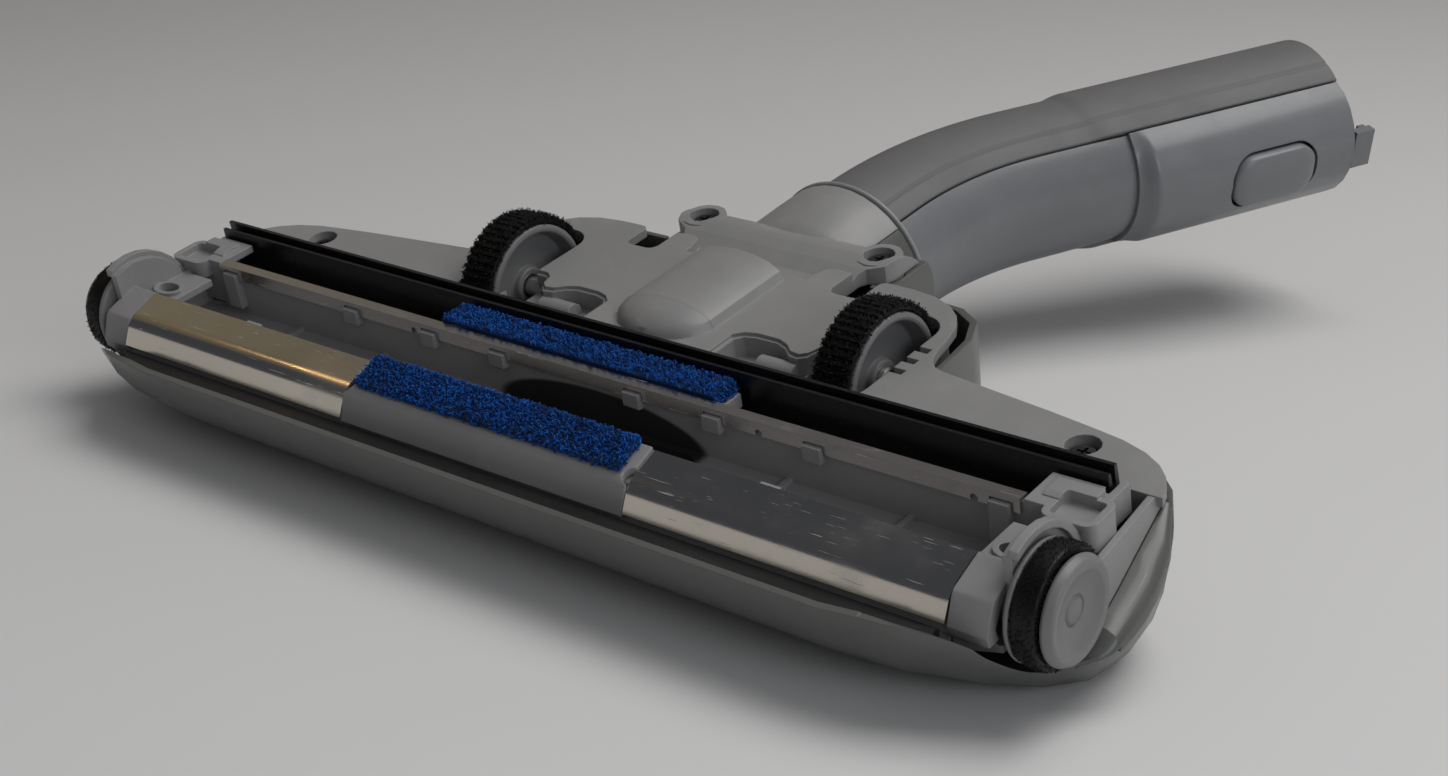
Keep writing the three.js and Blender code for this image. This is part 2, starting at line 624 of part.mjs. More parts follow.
// Section of the angle that wraps the front bar, as [y, z] points.
function angleSection(lift, thick) {
  const footZ = barBendZ - plateLegDrop;
  const footY = barBendY - plateLegRake;
  return [
    [barBackY, barBackZ + lift],
    [barBendY + 0.8, plateTopAt(barBendY + 0.8) + lift],
    [barBendY - lift, barBendZ - 0.6],
    [footY - lift, footZ],
    [footY + thick, footZ - 0.1],
    [barBendY + thick + 0.3, barBendZ - thick - 0.2],
    [barBackY, barBackZ - thick],
  ];
}

function sidePlate(side) {
  const [from, to] = [side * (carrierHalf + gap), side * frameHalf];
  return alongX(angleSection(0, plateThick), from, to);
}

function padCarrier() {
  const body = alongX(angleSection(0.5, plateThick), -carrierHalf, carrierHalf);
  const notch = bothSides((side) => rod(1.8, -6, 6, 'z', [side * carrierHalf, barBackY - 7.4, 0], 12));
  return cut(body, ...notch);
}

function frontPad() {
  const back = barBackY - 0.2;
  const front = barBendY + 1.4;
  const under = 0.5 + gap;
  const section = [
    [back, plateTopAt(back) + under], [back - 0.3, plateTopAt(back) + under + padThick],
    [front + 0.6, plateTopAt(front) + under + padThick], [front, plateTopAt(front) + under]];
  return alongX(section, -padHalf + 1.4, padHalf - 1.4);
}

const rearWallThick = 1.2;
const rearWallTop = -stripThick - gap;
const ledgeZ = -8.4;
const frameWall = 1.8;

function frameSection() {
  const inner = barBackY + 0.9;
  const legTop = barBendY + seatDrop + 0.4;
  const legBottomY = barBendY + seatDrop - legRake * 12.3;
  const bottomZ = troughFloorZ - frameWall;
  return [
    [legTop, plateTopAt(legTop) - seatDrop - 0.3],
    [barBackY, barBackZ - seatDrop],
    [inner, barBackZ - seatDrop],
    [inner, troughFloorZ],
    [rearWallY, troughFloorZ],
    [rearWallY, rearWallTop],
    [rearWallY + rearWallThick, rearWallTop],
    [rearWallY + rearWallThick, ledgeZ],
    [ledgeY + 5, ledgeZ],
    [ledgeY + 5, ledgeZ - frameWall],
    [rearWallY + rearWallThick, ledgeZ - frameWall],
    [rearWallY + rearWallThick, bottomZ],
    [inner - frameWall, bottomZ],
    [inner - frameWall, barBackZ - seatDrop - frameWall],
    [legTop + frameWall, plateTopAt(legTop) - seatDrop - frameWall],
    [legBottomY + frameWall, bottomZ],
    [legBottomY, bottomZ],
  ];
}

// Bracket at one end of the frame: plate-shaped block, oval boss, wheel fender and rear arm.
function endBracket(side) {
  const x0 = side * (frameHalf + gap);
  const x1 = side * bracketOuterX;
  const section = angleSection(0, plateThick);
  const top = section.slice(0, 4);
  const bottomZ = troughFloorZ - frameWall;
  const blockSolid = alongX(
    [...top, [barBendY - plateLegRake + 1.2, bottomZ], [barBackY + 0.9, bottomZ],
      [barBackY + 0.9, barBackZ - 0.6]],
    x0, x1);
  const pocket = alongX(
    [[barBackY - 1, -3], [barBendY + 2.4, -5], [barBendY + 0.4, -8.6], [barBendY + 2, bottomZ + 1.6],
      [barBackY - 1, bottomZ + 1.6]],
    side * (bracketOuterX - 5.5), side * (bracketOuterX + 1));
  const deck = block(side * (frameHalf - 2), x1, barBackY, -6, -4.8, -3);
  const deckWall = block(side * (bracketOuterX - frameWall), x1, barBackY, -1, bottomZ, -3);
  const floor = block(side * (frameHalf - 2), x1, barBackY, rearWallY + rearWallThick, bottomZ,
    troughFloorZ);
  const boss = ovalPost(side, 4.6, 3.2, -4.8, -2.2);
  const disc = (radius, a, b) => rod(radius, Math.min(side * a, side * b), Math.max(side * a, side * b),
    'x', [0, smallWheelY, smallWheelZ], 28);
  const fender = cut(
    join(disc(smallTyreR + 1.4, bracketOuterX - 0.6, wheelInnerX - 0.2),
      disc(smallTyreR + 2.8, wheelInnerX - 0.6, fenderOuterX)),
    block(side * 100, side * 160, -60, smallWheelY - 6, -60, 20),
    block(side * 100, side * 160, -60, 20, -60, smallWheelZ - 2));
  const arm = block(side * (frameHalf - 2), side * (armOuterX - 5), rearWallY, ledgeY - 1, -frameWall - 0.2,
    -0.2);
  const tray = (grow, z0, z1) => alongZ(
    roundedRect(side * (frameHalf + 4 - grow), side * (armOuterX - 1.5 + grow), rearWallY - 1.4 - grow,
      3.4 + grow, 1 + grow), z0, z1, 4);
  const armEnd = join(
    tray(1.5, -4.4, -0.2),
    alongZ(roundedRect(side * (armOuterX - 5), side * armOuterX, rearWallY - 2.9, 4.9, 2.4), -10.8, -0.2,
      4));
  const armHollow = join(
    tray(0, -2, 2),
    alongZ(roundedRect(side * (armOuterX - 3.6), side * (armOuterX - 1.4), rearWallY - 1.5, 3.5, 1), -20,
      -3.6, 4));
  const armWall = block(side * (frameHalf - 2), side * (armOuterX - 3), rearWallY,
    rearWallY + rearWallThick, -11.5, -0.4);
  const wedge = alongX([[0.6, -1], [0.6, 0], [2, 0.5], [6.4, 0.5], [6.4, -1]], side * (frameHalf + gap),
    side * (armOuterX - 4));
  const clip = block(side * (flapHalf + 0.6), side * (flapHalf + 2.2), 6, 13, -8, -1.4);
  const clipFoot = block(side * (flapHalf - 1), side * (flapHalf + 2.2), 6, 8, -8, -1.4);
  return { add: [blockSolid, deck, deckWall, floor, boss, fender, arm, armEnd, armWall, wedge, clip,
    clipFoot],
    take: [pocket, armHollow, ovalPost(side, 3.3, 2, -30, 10)] };
}

function ovalPost(side, long, wide, z0, z1) {
  const oval = new THREE.Shape();
  oval.absellipse(side * ovalX, ovalY, long, wide, 0, Math.PI * 2);
  return alongZ(oval, z0, z1, 8);
}

function soleFrame() {
  const trough = alongX(frameSection(), -frameHalf, frameHalf);
  const mouth = alongZ(roundedRect(-mouthHalf, mouthHalf, barBackY + 3, rearWallY - 1.2, 5), -30, -5, 5);
  const tabs = bothSides((side) => tabPlaces.map((x, i) => {
    const long = i === tabPlaces.length - 1;
    return block(side * (x - tabWide / 2), side * (x + tabWide / 2), rearWallY - 1.9, rearWallY + 0.2,
      long ? -10.7 : -5.2, rearWallTop - 0.8);
  })).flat();
  const backTabs = [-84, -28, 17, 70].map((x) => block(
    x - 2.4, x + 2.4, barBackY + 0.4, barBackY + 1.9, -6, barBackZ - seatDrop));
  const padSeat = block(-padHalf - 1, padHalf + 1, rearWallY + 0.5, ledgeY - 1.6, -5.4, -padThick - 0.6);
  const ribs = [-90, -60, 60, 90].map((x) => block(
    x - 0.7, x + 0.7, barBackY + 0.5, rearWallY + 0.5, troughFloorZ - 0.5, troughFloorZ + 1));
  const ends = bothSides(endBracket);
  const whole = join(trough, ...tabs, ...backTabs, padSeat, ...ribs, ...ends.flatMap((end) => end.add));
  const axleHoles = bothSides((side) => rod(smallAxleR + gap, Math.min(0, side * 30),
    Math.max(0, side * 30), 'x', [side * (bracketOuterX - 6), smallWheelY, smallWheelZ], 20));
  const corner = [[bracketOuterX - 22, -36.4], [bracketOuterX + 1, -36.4], [bracketOuterX + 1, -27.6]];
  const chamfers = bothSides((side) => alongZ(corner.map(([x, y]) => [side * x, y]), -20, -11));
  const wheelRoom = bothSides((side) => rod(smallTyreR + 1.2, Math.min(side * wheelInnerX, side * beyond),
    Math.max(side * wheelInnerX, side * beyond), 'x', [0, smallWheelY, smallWheelZ], 28));
  return cut(whole, mouth, ...ends.flatMap((end) => end.take), ...axleHoles, ...wheelRoom, ...chamfers);
}

function rearStrip() {
  const front = rearWallY - gap - stripThick;
  const back = rearWallY + rearWallThick + gap + stripThick;
  const section = [
    [front, -stripHeight - 1], [front, 0], [back, 0], [back, -1.6], [back - stripThick, -1.6],
    [back - stripThick, -stripThick], [front + stripThick, -stripThick], [front + stripThick,
      -stripHeight - 1]];
  const strip = alongX(section, -frameHalf + 2.4, frameHalf - 2.4);
  const notches = bothSides((side) => tabPlaces.map((x) => block(
    side * (x - tabWide / 2 - gap), side * (x + tabWide / 2 + gap), front - 1,
    front + stripThick + 0.2, -10, rearWallTop - 0.4))).flat();
  const holes = [-105, -47, 54, 106].map((x) => rod(0.9, front - 1, front + 1, 'y', [x, 0, -2.6], 12));
  return cut(strip, ...notches, ...holes);
}

function rearPad() {
  return block(-padHalf, padHalf, rearWallY + rearWallThick + gap * 2 + stripThick, ledgeY - 1.8,
    -padThick - 0.3, 0.7);
}

function flap() {
  const section = [
    [3, ledgeZ + gap], [12.9, ledgeZ + gap], [12.9, -2], [flapTopY + 0.6, flapTopZ], [flapTopY - 0.3,
      flapTopZ],
    [11.6, -1.5], [10.6, -2.2], [9.9, flapTopZ - 1], [9.1, flapTopZ - 1], [9.1, flapRootZ - 0.6], [3,
      flapRootZ - 0.6]];
  const blade = alongX(section, -flapHalf, flapHalf);
  const groove = bothSides((side) => block(side * (flapHalf - 3.5), side * (flapHalf + 1), 2, 20, -20,
    -4.4));
  return cut(blade, ...groove);
}

function sealStrip() {
  const half = frameHalf - 22;
  return alongX([[-38.2, -9.6], [-35.2, -9.2], [-34.8, -10.4], [-35.6, -14.2], [-37.4, -14.2]], -half,
    half);
}

// ---------------------------------------------------------------- wheels
function bigHub() {
  const half = bigWheelWide / 2;
  return turned([
    [bigAxleR + gap, -half + 1], [bigHubR, -half + 1], [bigHubR, half], [bigHubR - 1.6,
      half], [bigHubR - 2.4, half - 4.4],
    [bigAxleR + 1.8, half - 4.4], [bigAxleR + 1.5, half - 3.6], [bigAxleR + gap,
      half - 3.6]], 'x', [0, 0, 0], 28);
}

function bigTyre() {
  const ring = new THREE.Shape();
  for (let i = 0; i < bigTyreRibs; i += 1) {
    for (const [step, radius] of [[0, bigTyreR], [0.5, bigTyreR], [0.75, bigTyreR - 0.7]]) {
      const turn = (i + step) / bigTyreRibs * Math.PI * 2;
      const [y, z] = [Math.cos(turn) * radius, Math.sin(turn) * radius];
      if (i === 0 && step === 0) ring.moveTo(y, z);
      else ring.lineTo(y, z);
    }
  }
  const bore = new THREE.Path();
  bore.absarc(0, 0, bigHubR + gap / 2, 0, Math.PI * 2, true);
  ring.holes.push(bore);
  return alongX(ring, -bigWheelWide / 2 + 0.6, bigWheelWide / 2 - 0.6, 14);
}

function axle(radius, length, headR) {
  return turned([[0, 0], [radius, 0], [radius, length - 1.2], [headR, length - 1.2], [headR, length - 0.4],
    [headR - 0.5, length], [0, length]],
    'x', [0, 0, 0], 20);
}

function smallHub() {
  const inner = smallTyreWide / 2;
  return turned([
    [smallAxleR + gap, -inner - 1.6], [smallFlangeR - 0.6, -inner - 1.6], [smallFlangeR, -inner - 1],
    [smallFlangeR, -inner - gap],
    [smallHubR - 2, -inner - gap], [smallHubR - 2, inner + gap], [smallHubR, inner + gap], [smallHubR,
      inner + 1.8],
    [smallHubR - 1.2, inner + 2.8], [smallHubR - 2.4, inner + 2.5], [4, inner + 2.2], [3.4,
      inner + 2.6], [3, inner + 2.2],
    [0, inner + 2.2], [0, inner + 0.4], [smallAxleR + gap, inner + 0.4]], 'x', [0, 0, 0], 24);
}

function smallTyre() {
  const half = smallTyreWide / 2;
  return turned([
    [smallHubR - 2 + gap, -half], [smallTyreR - 0.5, -half], [smallTyreR, -half + 0.6], [smallTyreR,
      half - 0.6],
    [smallTyreR - 0.5, half], [smallHubR - 2 + gap, half]], 'x', [0, 0, 0], 30);
}

// ---------------------------------------------------------------- swivel neck
// The elbow's axis runs from the collar's end; bend plane is X and Y before the neck is turned.
function elbowAxis(distance) {
  const arc = bendRadius * bendAngle;
  const s = distance - elbowLead;
  const turn = THREE.MathUtils.clamp(s / bendRadius, 0, bendAngle);
  const past = Math.max(0, s - arc);
  const x = bendRadius * (1 - Math.cos(turn)) + past * Math.sin(turn);
  const y = Math.min(s, 0) + elbowLead + bendRadius * Math.sin(turn) + past * Math.cos(turn);
  return { centre: new THREE.Vector3(x, y, 0),
    across: new THREE.Vector3(Math.cos(turn), -Math.sin(turn), 0) };
}

const elbowLead = 9;
const elbowLength = elbowLead + bendRadius * bendAngle + straightLength;

const bendSteps = 6;
const bendStations = Array.from({ length: bendSteps + 1 },
  (_, i) => elbowLead + bendRadius * bendAngle * i / bendSteps);

// Sweeps [across, up] sections along the elbow's axis, one at each distance.
function elbowSweep(section, stations) {
  const rings = stations.map((distance) => {
    const { centre, across } = elbowAxis(distance);
    const lift = new THREE.Vector3(0, 0, 1);
    return section(distance).map(([a, b]) => centre.clone().addScaledVector(across, a).addScaledVector(lift,
      b));
  });
  return loft(rings, (p) => new THREE.Vector2(p.z, p.x));
}

// Arc section round the tube's axis; angle 0 points into the bend. Radii may depend on the angle.
function arcSection(middle, halfSpan, outer, inner, steps) {
  const turns = Array.from({ length: steps + 1 }, (_, i) => middle + halfSpan * (2 * i / steps - 1));
  const spot = (radius, turn) => [radius * Math.cos(turn), radius * Math.sin(turn)];
  return [...turns.map((turn) => spot(outer(turn), turn)),
    ...turns.reverse().map((turn) => spot(inner(turn), turn))];
}

const { smoothstep } = THREE.MathUtils;
const latchStart = elbowLength - latchCoverLength;
const latchShare = (distance) => smoothstep(distance, latchStart - 3, latchStart + 3);
const shellGrow = (distance) => 0.9 * smoothstep(distance, latchStart - 12, latchStart - 6);

function elbowOuterShell() {
  const halfSpan = Math.PI - innerSpan - seamGap / tubeR;
  const section = (distance) => arcSection(Math.PI, halfSpan, () => tubeR + shellGrow(distance),
    () => tubeR - tubeWall, 14);
  const swell = [12, 9, 6].map((before) => latchStart - before);
  return elbowSweep(section, [2 * gap, ...bendStations, ...swell, elbowLength]);
}

// The inner shell sinks under the latch cover to leave room for the latch.
function elbowInnerShell() {
  const sink = 1.2;
  const section = (distance) => arcSection(0, innerSpan, () => tubeR - sink * latchShare(distance),
    () => tubeR - tubeWall, 8);
  const step = [-3, -1, 1, 3].map((past) => latchStart + past);
  return elbowSweep(section, [2 * gap, ...bendStations, ...step, elbowLength]);
}

function podOuter(turn, distance) {
  const crown = Math.cos(turn / innerSpan * Math.PI / 2) ** 0.7;
  return tubeR + 0.9 + latchCoverLift * Math.max(crown, 0) * smoothstep(distance, latchStart,
    latchStart + 5);
}

function latchCover() {
  const thick = 1.6;
  const section = (distance) => arcSection(0, innerSpan - 0.01, (turn) => podOuter(turn, distance),
    (turn) => Math.max(podOuter(turn, distance) - thick,
      tubeR + gap - 1.2 * latchShare(distance) + 0.05), 10);
  const rise = [0, 1.2, 2.5, 3.8, 5].map((past) => latchStart + past);
  const shell = elbowSweep(section, [...rise, elbowLength - 1]);
  const lugs = [-1, 1].map((side) => onTube(
    [[pivotAlong - 2.6, side * 7.2], [pivotAlong + 2.6, side * 7.2], [pivotAlong + 2.6, side * 9.6],
      [pivotAlong - 2.6, side * 9.6]],
    leverR0 - 0.6, tubeR + 2.6));
  const slot = latchOutline(0.8);
  const mouth = onTube([[20, -6.2], [40, -6.2], [40, 6.2], [20, 6.2]], tubeR - 0.6, leverR1 + 1.5);
  return cut(join(shell, ...lugs), onTube(slot, tubeR - 0.6, tubeR + 12),
    pivotRod(pinR + 0.1, pinHalf + gap), mouth);
}

function latchOutline(grow) {
  return roundedRect(-buttonLength / 2 - grow, buttonLength / 2 + grow, -buttonWide / 2 - grow,
    buttonWide / 2 + grow,
    buttonWide / 2 - 1.4 + grow);
}

// Raises an outline drawn along the tube and round it, outwards from the elbow's axis at the button.
function onTube(outline, r0, r1) {
  const { centre, across } = elbowAxis(elbowLength - buttonFromEnd);
  const options = { depth: r1 - r0, bevelEnabled: false, curveSegments: 5 };
  const geometry = new THREE.ExtrudeGeometry(shapeOf(outline), options);
  geometry.translate(0, 0, r0);
  const along = new THREE.Vector3(-across.y, across.x, 0);
  const round = new THREE.Vector3().crossVectors(across, along);
  geometry.applyMatrix4(new THREE.Matrix4().makeBasis(along, round, across).setPosition(centre));
  return solidOf(geometry);
}

function pivotPoint() {
  const { centre, across } = elbowAxis(elbowLength - buttonFromEnd);
  const along = new THREE.Vector3(-across.y, across.x, 0);
  return centre.addScaledVector(along, pivotAlong).addScaledVector(across, (leverR0 + leverR1) / 2);
}

function pivotRod(radius, halfLength) {
  const { x, y } = pivotPoint();
  return rod(radius, -halfLength, halfLength, 'z', [x, y, 0], 16);
}

function releaseButton() {
  const top = tubeR + 0.9 + latchCoverLift + 1.2;
  return join(onTube(latchOutline(0), leverR1 + gap, top - 0.8), onTube(latchOutline(-0.9), top - 1, top));
}

function latchLever() {
  const end = buttonFromEnd + latchTab;
  const bar = onTube([[-11, -leverHalf], [end, -leverHalf], [end, leverHalf], [-11, leverHalf]], leverR0,
    leverR1);
  const tab = onTube([[buttonFromEnd + 1, -5.4], [end, -5.4], [end, 5.4], [buttonFromEnd + 1, 5.4]],
    leverR0, leverR1 + 0.8);
  const hook = onTube([[end - 2.2, -4.4], [end, -4.4], [end, 4.4], [end - 2.2, 4.4]], leverR0 - 2.4,
    leverR0 + 0.5);
  return cut(join(bar, tab, hook, pivotRod(pinR + 0.8, leverHalf)), pivotRod(pinR + gap, 10));
}

function latchSpring() {
  const { x, y } = pivotPoint();
  const start = leverHalf + gap;
  const coil = turned([[pinR + 0.1, start], [pinR + 0.65, start], [pinR + 0.65, start + 1.6],
    [pinR + 0.1, start + 1.6]], 'z', [x, y, 0], 20);
  const leg = onTube([[pivotAlong + 1.2, start + 0.2], [pivotAlong + 5, start + 0.2],
    [pivotAlong + 5, start + 0.8], [pivotAlong + 1.2, start + 0.8]],
    leverR1 - 0.6, leverR1 + 0.2);
  return join(coil, leg);
}

function swivelTube() {
  const bore = spigotR - spigotWall;
  const plugR = tubeR - tubeWall - gap;
  return turned([
    [bore, spigotStartY], [spigotR, spigotStartY], [spigotR, flangeY], [flangeR, flangeY],
    [flangeR, flangeY + flangeThick], [spigotR, flangeY + flangeThick], [spigotR,
      collarEndY + ringThick + gap],
    [plugR, collarEndY + ringThick + gap + 0.4], [plugR, collarEndY + 8], [bore, collarEndY + 8]],
    'y', [0, -collarEndY, 0], 32);
}

function swivelSeal() {
  const start = flangeY + flangeThick + gap;
  return turned([
    [spigotR + gap, start], [flangeR, start], [flangeR, start + sealThick], [spigotR + gap,
      start + sealThick]],
    'y', [0, -collarEndY, 0], 28);
}

function collarRing() {
  const r = collarR;
  return turned([
    [spigotR + gap, gap], [r, gap], [r + 0.5, gap + 0.7], [r + 0.5, ringThick - 0.5], [r, ringThick],
    [spigotR + gap, ringThick]], 'y', [0, 0, 0], 36);
}



// ---------------------------------------------------------------- materials and assembly
const finish = (color, roughness,
  metalness = 0) => new THREE.MeshStandardMaterial({ color, roughness, metalness });
const looks = {
  cover: () => finish(0x6f736f, 0.32),
  sole: () => finish(0x8b8a88, 0.45),
  frame: () => finish(0x98979a, 0.45),
  elbowDark: () => finish(0x7b7b7c, 0.4),
  elbowCool: () => finish(0x858b92, 0.38),
  steel: () => finish(0xb9b6aa, 0.2, 1),
  velour: () => finish(0x1452b8, 0.95),
  rubber: () => finish(0x0b0c0e, 0.35),
  felt: () => finish(0x131315, 0.95),
  screwSteel: () => finish(0x3a3b3d, 0.4, 0.9),
};

function mesh(name, solid, material) {
  const made = new THREE.Mesh(geometryOf(solid), material());
  made.name = name;
  return made;
}

function placed(object, x, y, z) {
  object.position.set(x, y, z);
  return object;
}

function sideName(side) {
  return side < 0 ? 'left' : 'right';
}

function mirrorTurn(side) {
  const group = new THREE.Group();
  if (side < 0) group.rotation.z = Math.PI;
  return group;
}

function rearWheel(side) {
  const group = placed(mirrorTurn(side), side * (bigWheelFaceX - bigWheelWide / 2), bigWheelY, bigWheelZ);
  const name = sideName(side);
  const pinStart = wellInnerX - axleLength + 1.8 - (bigWheelFaceX - bigWheelWide / 2);
  group.add(
    mesh(`rear_wheel_hub_${name}`, bigHub(), looks.frame),
    mesh(`rear_wheel_tyre_${name}`, bigTyre(), looks.felt),
    placed(mesh(`rear_axle_${name}`, axle(bigAxleR, bigWheelWide / 2 - pinStart - 1.4, bigAxleR + 0.8),
      looks.steel), pinStart, 0, 0),
  );
  return group;
}

function frontWheel(side) {
  const centreX = smallWheelFaceX - smallTyreWide / 2 - 2.8;
  const group = placed(mirrorTurn(side), side * centreX, smallWheelY, smallWheelZ);
  const name = sideName(side);
  const pinStart = bracketOuterX - 5.4 - centreX;
  group.add(
    mesh(`front_wheel_hub_${name}`, smallHub(), looks.frame),
    mesh(`front_wheel_tyre_${name}`, smallTyre(), looks.felt),
    placed(mesh(`front_axle_${name}`, axle(smallAxleR, smallTyreWide / 2 - pinStart, smallAxleR - 0.1),
      looks.steel), pinStart, 0, 0),
  );
  return group;
}

function elbow() {
  const group = placed(new THREE.Group(), 0, collarEndY, collarZ);
  group.rotation.y = neckTurn;
  group.add(
    mesh('swivel_tube', swivelTube(), looks.frame),
    mesh('swivel_seal', swivelSeal(), looks.felt),
    placed(mesh('elbow_outer_shell', elbowOuterShell(), looks.elbowDark), 0, ringThick, 0),
    placed(mesh('elbow_inner_shell', elbowInnerShell(), looks.elbowCool), 0, ringThick, 0),
    placed(mesh('latch_cover', latchCover(), looks.elbowCool), 0, ringThick, 0),
    placed(mesh('release_button', releaseButton(), looks.elbowCool), 0, ringThick, 0),
    placed(mesh('latch_lever', latchLever(), looks.elbowCool), 0, ringThick, 0),
    placed(mesh('latch_pin', pivotRod(pinR, pinHalf), looks.steel), 0, ringThick, 0),
    placed(mesh('latch_spring', latchSpring(), looks.steel), 0, ringThick, 0),
  );
  return group;
}

function head() {
  const group = new THREE.Group();
  group.add(
    mesh('top_cover', topCover(), looks.cover),
    mesh('base_plate', basePlate(), looks.sole),
    mesh('sole_frame', soleFrame(), looks.frame),
    mesh('slide_plate_left', sidePlate(-1), looks.steel),
    mesh('slide_plate_right', sidePlate(1), looks.steel),
    mesh('front_pad_carrier', padCarrier(), looks.frame),
    mesh('front_lint_pad', frontPad(), looks.velour),
    mesh('rear_strip', rearStrip(), looks.steel),
    mesh('rear_lint_pad', rearPad(), looks.velour),
    mesh('rubber_flap', flap(), looks.rubber),
    mesh('front_seal_strip', sealStrip(), looks.rubber),
    placed(mesh('collar_ring', collarRing(), looks.frame), 0, collarEndY, collarZ),
    ...screws.map((place) => mesh(place.name, screw(place), looks.screwSteel)),
    ...bothSides(rearWheel),
    ...bothSides(frontWheel),
    elbow(),
  );
  return group;
}

// The head leans on its crown plane; the origin is the middle of that face.
const floorHead = new THREE.Group();
const tilted = head();
tilted.rotation.x = lean;
tilted.position.set(0, crownZ * Math.sin(lean) - restY / Math.cos(lean), -crownZ * Math.cos(lean));
floorHead.add(tilted);

export default floorHead;
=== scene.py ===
"""Looks of an upturned suction floor head: mouldings, steel slides, velour pads, rollers and bent tube."""
import math

import bmesh
import bpy
import numpy as np
from bpy.props import FloatProperty, FloatVectorProperty, IntProperty, PointerProperty
from mathutils import Euler, Matrix, Vector


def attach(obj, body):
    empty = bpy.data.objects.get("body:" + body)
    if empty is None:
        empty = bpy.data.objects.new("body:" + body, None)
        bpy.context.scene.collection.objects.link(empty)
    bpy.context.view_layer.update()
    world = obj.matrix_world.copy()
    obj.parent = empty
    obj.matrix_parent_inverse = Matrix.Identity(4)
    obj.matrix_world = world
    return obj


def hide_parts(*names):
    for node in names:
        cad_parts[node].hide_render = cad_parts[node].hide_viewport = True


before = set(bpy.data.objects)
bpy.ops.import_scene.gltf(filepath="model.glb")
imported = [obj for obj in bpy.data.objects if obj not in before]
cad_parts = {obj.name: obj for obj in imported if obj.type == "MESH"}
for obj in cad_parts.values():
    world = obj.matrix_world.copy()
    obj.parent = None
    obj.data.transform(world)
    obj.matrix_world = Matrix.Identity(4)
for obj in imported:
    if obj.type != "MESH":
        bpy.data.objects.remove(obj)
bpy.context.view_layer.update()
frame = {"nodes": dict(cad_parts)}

bl_info = {
    "name": "Floor head looks",
    "version": (1, 0, 0),
    "blender": (4, 5, 0),
    "location": "3D View > Sidebar > Floor head",
    "description": "Builds the finished pieces of an upturned suction floor head around its frame",
    "category": "Add Mesh",
}

# ------------------------------------------------------------------ places
# Sizes with no unit are in the head's own millimetres: X across it, Y towards the neck, Z out of the sole.
MM = 0.001
LEAN = math.radians(12)  # slope of the cover's crown against the sole
CROWN_Z = -35.8  # crown plane's height at y = 0
REST_Y = 24.0  # middle of the crown's flat face
# From the head's millimetres to the room, where it lies sole up on its crown.
HEAD = (
    Matrix.Translation(Vector((
        0,
        (CROWN_Z * math.sin(LEAN) - REST_Y / math.cos(LEAN)) * MM,
        -CROWN_Z * math.cos(LEAN) * MM,
    )))
    @ Matrix.Rotation(LEAN, 4, "X")
    @ Matrix.Scale(MM, 4)
)
COLLAR_END = Vector((0, 98, -24.5))  # on the neck's axis, where the collar ends
NECK_TURN = math.radians(10.5)  # the tube hangs this much below sideways
RING_THICK = 3.0
# Frames of the tube, which starts along Y from the collar's end and from the ring, and bends towards X.
NECK = HEAD @ Matrix.Translation(COLLAR_END) @ Matrix.Rotation(NECK_TURN, 4, "Y")
ELBOW = NECK @ Matrix.Translation(Vector((0, RING_THICK, 0)))
SIDES = (("left", -1), ("right", 1))  # each with its sign on X


def local_box(node):
    """Lowest and highest corner of a CAD node in the head's own millimetres."""
    back = HEAD.inverted()
    spots = np.array([back @ v.co for v in frame["nodes"][node].data.vertices])
    return Vector(spots.min(0)), Vector(spots.max(0))


# ------------------------------------------------------------------ settings
def length(name, description, default):
    return FloatProperty(name=name, description=description, default=default, unit="LENGTH")


def colour(name, description, default):
    return FloatVectorProperty(name=name, description=description, default=default, subtype="COLOR",
                               size=3, min=0, max=1)


def power(name, description, default):
    return FloatProperty(name=name, description=description, default=default, unit="POWER", min=0)


def angle(name, description, degrees):
    return FloatProperty(name=name, description=description, default=math.radians(degrees),
                         subtype="ANGLE")


class StageSettings(bpy.types.PropertyGroup):
    # The near and far floor colours paint the light's falloff with depth: painted shade.
    near: colour("Near floor", "Colour of the floor in front", (0.80, 0.80, 0.80))
    far: colour("Far floor", "Colour of the floor and the backdrop behind", (0.53, 0.515, 0.51))
    sky: FloatProperty(name="Sky", description="Strength of the room's even light", default=0.20, min=0)
    ceiling: FloatProperty(name="Ceiling", description="Brightness of the ceiling in reflections",
                           default=0.065, min=0)
    key: power("Key lamp", "Power of the large lamp overhead", 9.2)
    fill: power("Fill lamp", "Power of the weaker lamp in front", 3.8)
    low_card: power("Low card", "Power of the pale card the front edge mirrors", 0.85)
    warm_card: power("Warm card", "Power of the golden card the left slide mirrors", 0.17)
    spark: power("Spark", "Power of the two small lamps that make points of light", 0.12)
    eye: FloatVectorProperty(name="Camera", description="Camera's place", subtype="TRANSLATION", size=3,
                             default=(0.3165, -0.36508, 0.1984))
    azimuth: angle("Azimuth", "Camera's turn round the part from the front", 39.39)
    elevation: angle("Elevation", "Camera's height angle", 20.37)
    lens: FloatProperty(name="Lens", description="Focal length on a 36 mm sensor", default=55.68,
                        unit="CAMERA")


class PlasticSettings(bpy.types.PropertyGroup):
    cover: colour("Cover", "Colour of the outer cover", (0.105, 0.109, 0.102))
    sole: colour("Sole", "Colour of the moulded base", (0.264, 0.260, 0.258))
    frame: colour("Frame", "Colour of the sole frame", (0.275, 0.272, 0.276))
    hub: colour("Hubs", "Colour of the wheel hubs", (0.185, 0.185, 0.188))
    elbow_dark: colour("Outer tube half", "Colour of the tube's outer half", (0.142, 0.139, 0.141))
    elbow_cool: colour("Inner tube half", "Colour of the tube's inner half", (0.176, 0.182, 0.192))


